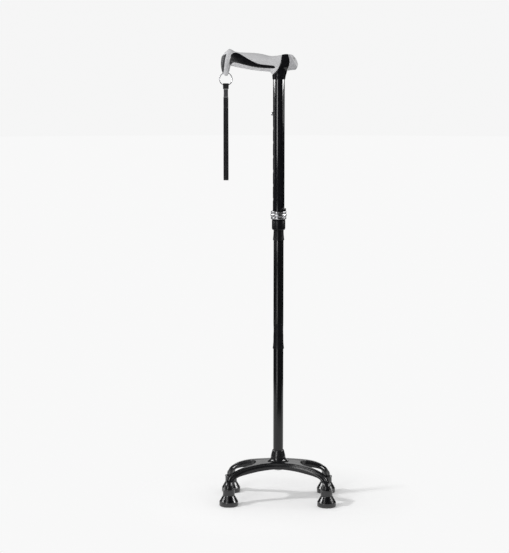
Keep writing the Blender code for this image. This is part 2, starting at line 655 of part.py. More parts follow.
def sleeve_mesh(name):
    """Joint sleeve: a flared mouth below and a plug that is fixed in the tube above."""
    heights = [SLEEVE_FLARE_LENGTH * k for k in (0.04, 0.25, 0.5, 0.75, 1.0)]
    heights += [SLEEVE_LENGTH - SLEEVE_WAIST_LENGTH * (1 - k) for k in (0.0, 0.3, 0.7)]
    outside = [(sleeve_outside(h), h) for h in heights]
    seat = SEAT_DEPTH + FIT
    flange = seat + SPIGOT_FLANGE
    deep = SEAT_DEPTH + SPIGOT_LENGTH + 0.002
    plug_top = SLEEVE_LENGTH + PLUG_LENGTH
    profile = [(STAFF_RADIUS + FIT, 0), (SLEEVE_MOUTH_RADIUS - 0.0003, 0)] + outside
    profile += [(STAFF_RADIUS, SLEEVE_LENGTH), (PLUG_RADIUS, SLEEVE_LENGTH),
                (PLUG_RADIUS, plug_top), (CORD_HOLE_RADIUS, plug_top), (CORD_HOLE_RADIUS, deep),
                (SPIGOT_TIP_RADIUS + FIT, deep), (SPIGOT_ROOT_RADIUS + FIT, flange + FIT),
                (STAFF_RADIUS + FIT, flange + FIT)]
    return turned_mesh(name, profile)


def spigot_mesh(name):
    """Tapered plug above a tube's end, with its origin on that end."""
    profile = [(CORD_HOLE_RADIUS, -PLUG_LENGTH), (PLUG_RADIUS, -PLUG_LENGTH), (PLUG_RADIUS, FIT),
               (STAFF_RADIUS - FIT, FIT), (STAFF_RADIUS - FIT, SPIGOT_FLANGE),
               (SPIGOT_ROOT_RADIUS, SPIGOT_FLANGE), (SPIGOT_TIP_RADIUS, SPIGOT_LENGTH - 0.001),
               (SPIGOT_TIP_RADIUS - 0.001, SPIGOT_LENGTH), (CORD_HOLE_RADIUS, SPIGOT_LENGTH)]
    return turned_mesh(name, profile)


def staff_tube_mesh(name, length):
    return tube_mesh(name, STAFF_RADIUS, STAFF_BORE, 0, length)


def add_lower_staff(base):
    node("lower_tube", staff_tube_mesh("lower_tube", LOWER_TUBE_LENGTH), "satin_black", base,
         (0, 0, STAFF_BOTTOM))
    node("lower_spigot", spigot_mesh("lower_spigot"), "black_plastic", base,
         (0, 0, LOWER_TUBE_TOP))


def add_middle_staff(middle):
    node("middle_tube", staff_tube_mesh("middle_tube", MIDDLE_TUBE_LENGTH), "satin_black", middle,
         (0, 0, MIDDLE_TUBE_BOTTOM))
    node("middle_ferrule", sleeve_mesh("middle_ferrule"), "black_plastic", middle,
         (0, 0, MIDDLE_MOUTH))
    node("middle_spigot", spigot_mesh("middle_spigot"), "black_plastic", middle,
         (0, 0, MIDDLE_TUBE_TOP))


def add_shock_cord(middle, inner):
    """Elastic cord from the insert at the staff's foot to the stop above the upper sleeve."""
    low = STAFF_BOTTOM + STAFF_INSERT_LENGTH - CORD_SOCKET + FIT
    stop_low = UPPER_MOUTH + SLEEVE_LENGTH + PLUG_LENGTH + FIT
    high = stop_low + CORD_SOCKET - FIT
    node("shock_cord", rod_mesh("shock_cord", CORD_DIAMETER / 2, low, high, 10), "webbing", middle)
    bore = CORD_DIAMETER / 2 + FIT
    top = stop_low + STOP_LENGTH
    edge = 0.0012
    profile = [(0, stop_low + CORD_SOCKET), (bore, stop_low + CORD_SOCKET), (bore, stop_low),
               (STOP_RADIUS, stop_low), (STOP_RADIUS, top - edge), (STOP_RADIUS - edge, top),
               (0, top)]
    node("cord_stop", turned_mesh("cord_stop", profile, FINE_SIDES), "black_plastic", inner)


def button_hole_mesh(name, reach):
    return rod_mesh(name, BUTTON_RADIUS + FIT, -reach, 0, FINE_SIDES, "X")


def add_inner_staff(inner):
    tube = node("inner_tube", staff_tube_mesh("inner_tube", INNER_TUBE_TOP - INNER_TUBE_BOTTOM),
                "satin_black", inner, (0, 0, INNER_TUBE_BOTTOM))
    hole = cutter("inner_tube_hole", button_hole_mesh("inner_tube_hole", OUTER_RADIUS), inner,
                  (0, 0, BUTTON_HEIGHT))
    boolean(tube, hole, "DIFFERENCE")
    node("upper_ferrule", sleeve_mesh("upper_ferrule"), "black_plastic", inner,
         (0, 0, UPPER_MOUTH))
    top = INNER_TUBE_TOP
    profile = [(GUIDE_HOLE_RADIUS, top - GUIDE_PLUG_LENGTH), (PLUG_RADIUS, top - GUIDE_PLUG_LENGTH),
               (PLUG_RADIUS, top + FIT), (STAFF_RADIUS, top + FIT),
               (STAFF_RADIUS, top + GUIDE_FLANGE), (GUIDE_HOLE_RADIUS, top + GUIDE_FLANGE)]
    node("inner_tube_guide", turned_mesh("inner_tube_guide", profile), "nylon_white", inner)


def spring_leg_place():
    """Distance of the spring's outer faces from the staff's axis, so that its edges fit the bore."""
    bore = STAFF_BORE * math.cos(math.pi / SIDES) - FIT / 2
    return math.sqrt(bore ** 2 - (SPRING_WIDTH / 2) ** 2)


def add_button_spring(inner):
    """Hairpin strip: two legs along the bore and a bend below."""
    outer = spring_leg_place()
    inside = outer - SPRING_THICKNESS
    low = -SPRING_BELOW_BUTTON
    high = SPRING_ABOVE_BUTTON
    outline = [(-outer, high)] + arc((0, low), outer, 180, 360, 10) + [(outer, high)]
    outline += [(inside, high)] + arc((0, low), inside, 360, 180, 10) + [(-inside, high)]
    strip = prism_mesh("button_spring", outline, -SPRING_WIDTH / 2, SPRING_WIDTH / 2, "XZ")
    spring = node("button_spring", strip, "steel", inner, (0, 0, BUTTON_HEIGHT))
    hole = rod_mesh("spring_hole", BUTTON_STEM_RADIUS + FIT, -outer - 0.002, -inside + 0.002,
                    FINE_SIDES, "X")
    boolean(spring, cutter("spring_hole", hole, inner, (0, 0, BUTTON_HEIGHT)), "DIFFERENCE")


def add_snap_button(button):
    """Domed stud with a stem through the spring and a riveted head inside it."""
    leg = spring_leg_place()
    tip = OUTER_RADIUS + BUTTON_PROUD
    shoulder = leg + FIT
    head = leg - SPRING_THICKNESS - FIT
    dome = [(BUTTON_RADIUS * math.cos(math.radians(a)),
             tip - BUTTON_DOME + BUTTON_DOME * math.sin(math.radians(a))) for a in (0, 30, 60)]
    profile = [(0, head - BUTTON_HEAD_THICKNESS), (BUTTON_HEAD_RADIUS, head - BUTTON_HEAD_THICKNESS),
               (BUTTON_HEAD_RADIUS, head), (BUTTON_STEM_RADIUS, head),
               (BUTTON_STEM_RADIUS, shoulder), (BUTTON_RADIUS, shoulder)]
    profile += dome + [(0, tip)]
    stud = turned_mesh("snap_button", profile, FINE_SIDES)
    item = node("snap_button", stud, "steel", button, (0, 0, BUTTON_HEIGHT))
    item.rotation_euler = (0, -math.pi / 2, 0)


# Outer tube and lock


def add_outer_tube(upper):
    length = OUTER_TUBE_TOP - OUTER_TUBE_BOTTOM
    tube = node("outer_tube", tube_mesh("outer_tube", OUTER_RADIUS, OUTER_BORE, 0, length),
                "gloss_black", upper, (0, 0, OUTER_TUBE_BOTTOM))
    hole = button_hole_mesh("adjustment_hole", OUTER_RADIUS + 0.002)
    for index in range(HOLE_COUNT):
        height = OUTER_TUBE_BOTTOM + HOLES_ABOVE_END + index * HOLE_PITCH
        boolean(tube, cutter("adjustment_hole", hole, upper, (0, 0, height)), "DIFFERENCE")


def add_lock_collar(upper):
    """Skirt below the lock ring, sleeve inside it and a lug above it."""
    low, seat, lug = LOCK_BOTTOM, LOCK_SEAT, LUG_BASE
    shelf = OUTER_TUBE_BOTTOM - FIT
    collet_outside = STAFF_RADIUS + FIT + COLLET_WALL + FIT
    step = shelf - COLLAR_SHELF
    profile = [(collet_outside, low)]
    profile += [(SKIRT_RADIUS - SKIRT_EDGE * (1 - x), low + SKIRT_EDGE_HEIGHT * (1 + y))
                for x, y in arc((0, 0), 1.0, -90, 0, 3)]
    profile += [(SKIRT_RADIUS, seat - 0.0006), (SKIRT_RADIUS - 0.0006 / 2, seat),
                (COLLAR_RADIUS, seat), (COLLAR_RADIUS, lug), (COLLAR_BORE, lug),
                (COLLAR_BORE, shelf), (STAFF_RADIUS + FIT, shelf), (STAFF_RADIUS + FIT, step),
                (collet_outside, step)]
    collar = node("lock_collar", turned_mesh("lock_collar", profile), "black_plastic", upper)
    inner = COLLAR_BORE + FIT / 2
    middle = math.radians(LUG_ANGLE)
    span = math.radians(LUG_SPAN)
    steps = 6
    angles = [middle - span / 2 + span * i / steps for i in range(steps + 1)]
    outline = [(LUG_RADIUS * math.cos(a), LUG_RADIUS * math.sin(a)) for a in angles]
    outline += [(inner * math.cos(a), inner * math.sin(a)) for a in reversed(angles)]
    tab = prism_mesh("lug", outline, lug - 0.0004, lug + LUG_HEIGHT)
    boolean(collar, cutter("lug", tab, upper), "UNION")
    foot = [(x * 1.02, y * 1.02) for x, y in outline[:steps + 1]]
    foot += [(COLLAR_RADIUS / math.cos(math.pi / SIDES) * math.cos(a),
              COLLAR_RADIUS / math.cos(math.pi / SIDES) * math.sin(a)) for a in reversed(angles)]
    under = prism_mesh("lug_underside", foot, lug - 0.001, lug)
    boolean(collar, cutter("lug_underside", under, upper), "DIFFERENCE")


def add_lock_collet(upper):
    """Bush with slots from below, between the skirt and the inner tube."""
    low = LOCK_BOTTOM
    top = OUTER_TUBE_BOTTOM - FIT - COLLAR_SHELF - FIT
    inside = STAFF_RADIUS + FIT
    outside = inside + COLLET_WALL
    profile = [(inside, low + FIT), (outside - 0.0004, low + FIT), (outside, low + 0.0015),
               (outside, top), (inside, top)]
    bush = node("lock_collet", turned_mesh("lock_collet", profile), "nylon_white", upper)
    half = COLLET_SLOT_WIDTH / 2
    for index in range(COLLET_SLOTS):
        angle = 2 * math.pi * (index + 0.5) / COLLET_SLOTS
        along = Vector((math.cos(angle), math.sin(angle)))
        across = Vector((-along.y, along.x)) * half
        corners = [along * (inside - 0.001) - across, along * (outside + 0.001) - across,
                   along * (outside + 0.001) + across, along * (inside - 0.001) + across]
        slot = prism_mesh("collet_slot", [tuple(c) for c in corners], low - 0.001,
                          low + COLLET_SLOT_LENGTH)
        boolean(bush, cutter("collet_slot", slot, upper), "DIFFERENCE")


def add_lock_ring(lock):
    bottom = LOCK_SEAT + FIT
    top = bottom + RING_LENGTH
    bore = COLLAR_RADIUS + FIT
    edge = RING_EDGE
    profile = [(bore, bottom), (RING_RADIUS - edge, bottom), (RING_RADIUS, bottom + edge),
               (RING_RADIUS, top - edge), (RING_RADIUS - edge, top), (bore, top)]
    node("lock_ring", turned_mesh("lock_ring", profile), "silver", lock)


# Handle


def oval(centre, half, power, steps, flat=0.0):
    """Points of a rounded oval as (across, up) pairs; flat draws the lower half in."""
    points = []
    for i in range(steps):
        angle = 2 * math.pi * i / steps
        c = math.cos(angle)
        s = math.sin(angle)
        across = half[0] * math.copysign(abs(c) ** (2 / power), c) * (1 + flat * s)
        up = half[1] * math.copysign(abs(s) ** (2 / power), s)
        points.append((centre[0] + across, centre[1] + up))
    return points


def rounded_end(position, end, length):
    """Factor that rounds a form off over a length before its end."""
    past = min(max(0.0, position - end + length) / length, 1.0)
    return max((1 - past ** 1.6) ** 0.625, 0.22)


def grip_loft(name, grow=0.0, start=GRIP_END, end=TAIL_END, stations=17):
    """The long part of the handle, in sections across X; grow moves its surface out."""
    top = line_through(GRIP_TOP)
    bottom = line_through(GRIP_BOTTOM)
    width = line_through(GRIP_HALF_WIDTH)
    low_x = start - grow
    high_x = end + grow
    rings = []
    for i in range(stations + 1):
        t = i / stations
        x = low_x + (high_x - low_x) * (t + 0.5 * t * (1 - t))
        high = top(x)
        low = bottom(x)
        wide = width(x)
        if end == TAIL_END:
            high = TAIL_HEART + (high - TAIL_HEART) * rounded_end(x, high_x, TAIL_TOP_ROUNDING)
            low = TAIL_HEART + (low - TAIL_HEART) * rounded_end(x, high_x, TAIL_BOTTOM_ROUNDING)
            wide *= rounded_end(x, high_x, TAIL_SIDE_ROUNDING)
        half = (wide + grow, (high - low) / 2 + grow)
        section = oval((0, (high + low) / 2), half, 2.35, GRIP_SIDES, 0.05)
        rings.append([Vector((x, y, z)) for y, z in section])
    return lofted_mesh(name, rings)


def nose_loft(name, grow=0.0, stations=14):
    """The hooked end of the handle, in sections across Z."""
    outer = line_through(NOSE_OUTER)
    inner = line_through(NOSE_INNER)
    width = line_through(NOSE_HALF_WIDTH)
    low = NOSE_TIP - grow
    high = NOSE_PEAK + grow
    rings = []
    for i in range(stations + 1):
        t = i / stations
        z = low + (high - low) * (t - 0.1 * math.sin(2 * math.pi * t) / 2)
        middle = (outer(z) + inner(z)) / 2
        shrink = 0.45 + 0.55 * math.sqrt(max(0.0, 1 - abs(2 * t - 1) ** 10))
        half = ((inner(z) - outer(z)) / 2 * shrink + grow, width(z) * shrink + grow)
        rings.append([Vector((x, y, z)) for x, y in oval((middle, 0), half, 2.2, GRIP_SIDES)])
    return lofted_mesh(name, rings)


def neck_loft(name, grow=0.0, stations=7):
    """The neck that widens from the tube into the grip, in sections across Z."""
    left = line_through(NECK_LEFT)
    right = line_through(NECK_RIGHT)
    width = line_through(NECK_HALF_WIDTH)
    rings = []
    for i in range(stations + 1):
        z = NECK_TOP * i / stations
        middle = (left(z) + right(z)) / 2
        half = ((right(z) - left(z)) / 2 + grow, width(z) + grow)
        rings.append([Vector((x, y, z)) for x, y in oval((middle, 0), half, 2.0, SIDES)])
    return lofted_mesh(name, rings)


def handle_solid(name, upper, grow=0.0, with_nose=True):
    """Hidden solid of the whole handle, for the pieces to be cut from."""
    place = (0, 0, HANDLE_BASE)
    body = cutter(name, grip_loft(name, grow), upper, place)
    boolean(body, cutter(name + "_neck", neck_loft(name + "_neck", grow), upper, place), "UNION")
    if with_nose:
        tip = cutter(name + "_nose", nose_loft(name + "_nose", grow), upper, place)
        boolean(body, tip, "UNION")
    return body


def moved_line(points, grow, closed=False):
    """Moves a line of (x, z) points to the left of its direction by grow."""
    count = len(points)
    moved = []
    for i, (x, z) in enumerate(points):
        before = points[i - 1] if i or closed else points[0]
        after = points[(i + 1) % count] if i < count - 1 or closed else points[-1]
        run = (Vector(after) - Vector(before)).normalized()
        moved.append((x - run.y * grow, z + run.x * grow))
    return moved


def boundary(points, steps, grow):
    """Smooth upward boundary through (height, x) points, moved towards -X by grow."""
    read = line_through(points)
    low = points[0][0]
    high = points[-1][0]
    line = [(read(low + (high - low) * i / steps), low + (high - low) * i / steps)
            for i in range(steps + 1)]
    return moved_line(line, grow)


def band_outline(grow_left=0.0, grow_right=0.0, reach_left=False, reach_right=False):
    """Outline of the black band and neck as (x, z); it can reach past either end of the handle."""
    far = HANDLE_PAST_ENDS
    near = NECK_REACH
    above = BAND_LEFT[-1][0]
    if reach_left:
        outline = [(-far, -BELOW_NECK), (-far, above)]
    else:
        left = boundary(BAND_LEFT, 10, grow_left)
        outline = [(-near, -BELOW_NECK), (-near, left[0][1] - FIT)] + left
    if reach_right:
        outline += [(far, above), (far, -BELOW_NECK)]
    else:
        right = boundary(BAND_RIGHT, 8, -grow_right)
        outline += right[::-1] + [(near, right[0][1] - FIT), (near, -BELOW_NECK)]
    return outline


def inlay_outline(grow=0.0):
    """Outline of an inlay as (x, z), moved outwards by grow."""
    return moved_line(INLAY_TOP + INLAY_BOTTOM, grow, closed=True)


def inlay_tool(name, upper, side, grow=0.0):
    inner = INLAY_INNER_EDGE - grow
    low, high = (-HANDLE_REACH, -inner) if side < 0 else (inner, HANDLE_REACH)
    return cutter(name, prism_mesh(name, inlay_outline(grow), low, high, "XZ"), upper,
                  (0, 0, HANDLE_BASE))


def ring_hole_tool(name, upper):
    """Trumpet-shaped hole along X that the strap ring's curve can swing in."""
    centre = RING_WIRE_RADIUS
    thick = math.hypot(RING_WIRE_WIDTH / 2, RING_WIRE_THICKNESS + RING_TURN_GAP / 2)
    half = RING_HOLE_LENGTH / 2
    profile = [(0, -half)]
    for i in range(-6, 7):
        along = half * i / 6
        sag = centre - math.sqrt(centre ** 2 - along ** 2)
        profile.append((sag + thick + FIT, along))
    profile.append((0, half))
    tool = cutter(name, turned_mesh(name, profile, FINE_SIDES), upper,
                  (RING_CENTRE_X, 0, RING_PIVOT))
    tool.rotation_euler = (0, math.pi / 2, 0)
    return tool


def outline_tool(name, upper, outline):
    tool = prism_mesh(name, outline, -HANDLE_REACH, HANDLE_REACH, "XZ")
    return cutter(name, tool, upper, (0, 0, HANDLE_BASE))


def tongue_tool(name, upper, grow):
    """The core inside the grey covers."""
    loft = grip_loft(name, grow - CORE_DEPTH, GRIP_END + CORE_NOSE_END, TAIL_END - CORE_TAIL_END, 14)
    return cutter(name, loft, upper, (0, 0, HANDLE_BASE))


def add_handle(upper):
    place = (0, 0, HANDLE_BASE)
    body = handle_solid("handle_solid", upper)

    grip = node("grip_cover", grip_loft("grip_cover"), "grip_grey", upper, place)
    boolean(grip, cutter("grip_neck", neck_loft("grip_neck"), upper, place), "UNION")
    boolean(grip, cutter("grip_nose", nose_loft("grip_nose"), upper, place), "UNION")
    right_part = outline_tool("band_and_right", upper, band_outline(FIT, 0, False, True))
    boolean(grip, right_part, "DIFFERENCE")
    boolean(grip, tongue_tool("grip_hollow", upper, FIT), "DIFFERENCE")
    sleeve_top = TUBE_TOP_IN_HANDLE + CORE_OVER_TUBE
    wide_sleeve = OUTER_RADIUS + FIT + SOCKET_WALL + FIT
    around = rod_mesh("sleeve_hollow", wide_sleeve, -BELOW_NECK, sleeve_top + FIT, SIDES)
    boolean(grip, cutter("sleeve_hollow", around, upper, place), "DIFFERENCE")
    for side in (-1, 1):
        boolean(grip, inlay_tool("inlay_window", upper, side, FIT), "DIFFERENCE")
    boolean(grip, outline_tool("cap_seat", upper, cap_outline(FIT)), "DIFFERENCE")
    boolean(grip, ring_hole_tool("ring_hole", upper), "DIFFERENCE")

    cap = node("nose_cap", prism_mesh("nose_cap", cap_outline(), -HANDLE_REACH, HANDLE_REACH, "XZ"),
               "cap_grey", upper, place)
    boolean(cap, body, "INTERSECT")
    boolean(cap, ring_hole_tool("cap_ring_hole", upper), "DIFFERENCE")

    tail = node("tail_cover", grip_loft("tail_cover"), "grip_grey", upper, place)
    left_part = outline_tool("band_and_left", upper, band_outline(0, FIT, True, False))
    boolean(tail, left_part, "DIFFERENCE")
    boolean(tail, tongue_tool("tail_hollow", upper, FIT), "DIFFERENCE")

    band = prism_mesh("handle_core", band_outline(), -HANDLE_REACH, HANDLE_REACH, "XZ")
    core = node("handle_core", band, "black_plastic", upper, place)
    boolean(core, handle_solid("band_solid", upper, BAND_PROUD, False), "INTERSECT")
    boolean(core, tongue_tool("core_tongue", upper, 0.0), "UNION")
    sleeve = rod_mesh("tube_sleeve", wide_sleeve - FIT, CORE_SLEEVE_START, sleeve_top, SIDES)
    boolean(core, cutter("tube_sleeve", sleeve, upper, place), "UNION")
    for side in (-1, 1):
        pad = inlay_tool("inlay_pad", upper, side)
        boolean(pad, handle_solid("pad_solid", upper, -BAND_PROUD / 2, False), "INTERSECT")
        boolean(core, pad, "UNION")
    socket = rod_mesh("tube_socket", OUTER_RADIUS + FIT, -BELOW_NECK, TUBE_TOP_IN_HANDLE + FIT, SIDES)
    boolean(core, cutter("tube_socket", socket, upper, place), "DIFFERENCE")
    stub = rod_mesh("tube_stub", STUB_RADIUS, -STUB_DEPTH, TUBE_TOP_IN_HANDLE + 2 * FIT, SIDES)
    boolean(core, cutter("tube_stub", stub, upper, place), "UNION")


def cap_outline(grow=0.0):
    """Outline of the nose cap as (x, z), its edge moved towards the grip by grow."""
    edge = moved_line([(x, z) for z, x in CAP_EDGE], -grow)
    return edge + [(-HANDLE_PAST_ENDS, edge[-1][1]), (-HANDLE_PAST_ENDS, edge[0][1])]


# Ring and strap


def add_strap_ring(ring):
    """Split ring: two flat turns joined by a short step, hanging from the nose."""
    radius = RING_WIRE_RADIUS
    wide = RING_WIRE_WIDTH / 2
    thick = RING_WIRE_THICKNESS / 2
    shift = (RING_WIRE_THICKNESS + RING_TURN_GAP) / 2
    section = [(-wide, 0), (-0.5 * wide, -thick), (0.5 * wide, -thick), (wide, 0),
               (0.5 * wide, thick), (-0.5 * wide, thick)]
    total = 360 * RING_TURNS
    step_from = total - 360 + 4
    step_to = 360 - 4
    centre = -radius
    rings = []
    count = int(RING_STEPS * RING_TURNS)
    for i in range(count + 1):
        turn = total * i / count
        angle = math.radians(turn - 30)
        side = shift * (2 * ease(turn, step_from, step_to) - 1)
        out = Vector((math.cos(angle), 0, math.sin(angle)))
        middle = Vector((0, side, centre)) + out * radius
        rings.append([middle + out * a + Vector((0, b, 0)) for a, b in section])
    node("strap_ring", lofted_mesh("strap_ring", rings), "chrome", ring,
         (RING_CENTRE_X, 0, RING_PIVOT))


def add_strap(strap):
    """Tab over the ring, neck tape and wrist loop, hanging one below the other."""
    place = (RING_CENTRE_X, 0, STRAP_PIVOT)
    wire = math.hypot(RING_WIRE_WIDTH / 4, RING_WIRE_THICKNESS + RING_TURN_GAP / 2)
    half_width = TAB_WIDTH / 2
    rise = RING_WIRE_RADIUS - math.sqrt(RING_WIRE_RADIUS ** 2 - half_width ** 2)
    hole_half = wire + rise * math.sin(math.radians(STRAP_SWING)) + FIT
    hole_low = -wire - FIT
    hole_high = wire + rise + FIT
    bottom = hole_low - TAB_BELOW_WIRE
    fold = TAB_FOLD_RADIUS
    bend = hole_half - fold
    outer = fold + TAB_THICKNESS
    outline = arc((bend, hole_high - fold), outer, 0, 90, 4)
    outline += arc((-bend, hole_high - fold), outer, 90, 180, 4)
    outline += [(-bend - outer, hole_low), (-TAB_THICKNESS, bottom), (TAB_THICKNESS, bottom),
                (bend + outer, hole_low)]
    tab = node("strap_tab", prism_mesh("strap_tab", outline, -half_width, half_width, "YZ"),
               "webbing", strap, place)
    hole = arc((bend, hole_high - fold), fold, 0, 90, 3)
    hole += arc((-bend, hole_high - fold), fold, 90, 180, 3)
    hole += arc((-bend, hole_low + fold), fold, 180, 270, 3)
    hole += arc((bend, hole_low + fold), fold, 270, 360, 3)
    through = prism_mesh("tab_hole", hole, -half_width - 0.002, half_width + 0.002, "YZ")
    boolean(tab, cutter("tab_hole", through, strap, place), "DIFFERENCE")

    tape_top = bottom - FIT
    tape_low = tape_top - NECK_TAPE_LENGTH
    half = NECK_TAPE_THICKNESS / 2
    tape = [(-half, tape_low), (half, tape_low), (half, tape_top), (-half, tape_top)]
    node("strap_neck", prism_mesh("strap_neck", tape, -NECK_TAPE_WIDTH / 2, NECK_TAPE_WIDTH / 2,
                                  "YZ"), "webbing", strap, place)
    add_wrist_loop(strap, place, tape_low - FIT)


def add_wrist_loop(strap, place, top):
    """Doubled webbing: sewn together at the top, and open with a round fold at the bottom."""
    thick = STRAP_THICKNESS
    sewn = top - STRAP_SEWN_LENGTH
    low = top - STRAP_LENGTH
    fold = STRAP_BOTTOM_HALF_GAP
    fold_centre = low + thick + fold
    steps = 8
    side = []
    for i in range(1, steps + 1):
        t = i / steps
        side.append((fold * ease(t, 0, 1) ** 0.8, sewn + (fold_centre - sewn) * t))
    inside = [(0, sewn)] + side + arc((0, fold_centre), fold, 0, -180, 10)[1:-1]
    inside += [(-y, z) for y, z in reversed(side)]
    shell = [(thick, top), (thick, sewn)] + [(y + thick, z) for y, z in side]
    shell += arc((0, fold_centre), fold + thick, 0, -180, 12)[1:-1]
    shell += [(-y - thick, z) for y, z in reversed(side)] + [(-thick, sewn), (-thick, top)]
    half = STRAP_WIDTH / 2
    loop = node("wrist_loop", prism_mesh("wrist_loop", shell, -half, half, "YZ"), "webbing",
                strap, place)
    hole = prism_mesh("loop_hole", inside, -half - 0.002, half + 0.002, "YZ")
    boolean(loop, cutter("loop_hole", hole, strap, place), "DIFFERENCE")


def main():
    clear_objects()
    base = pivot("base_section", (0, 0, 0))
    middle = pivot("middle_section", (0, 0, MIDDLE_MOUTH), base)
    inner = pivot("inner_section", (0, 0, UPPER_MOUTH), middle)
    button = pivot("button_axis", (0, 0, BUTTON_HEIGHT), inner)
    upper = pivot("upper_section", (0, 0, OUTER_TUBE_BOTTOM), inner)
    lock = pivot("lock_axis", (0, 0, OUTER_TUBE_BOTTOM), upper)
    ring = pivot("ring_axis", (RING_CENTRE_X, 0, RING_PIVOT), upper)
    strap = pivot("strap_axis", (RING_CENTRE_X, 0, STRAP_PIVOT), ring)
    add_feet(base)
    add_quad_base(base)
    add_base_fixing(base)
    add_lower_staff(base)
    add_middle_staff(middle)
    add_shock_cord(middle, inner)
    add_inner_staff(inner)
    add_button_spring(inner)
    add_snap_button(button)
    add_outer_tube(upper)
    add_lock_collar(upper)
    add_lock_collet(upper)
    add_lock_ring(lock)
    add_handle(upper)
    add_strap_ring(ring)
    add_strap(strap)


main()
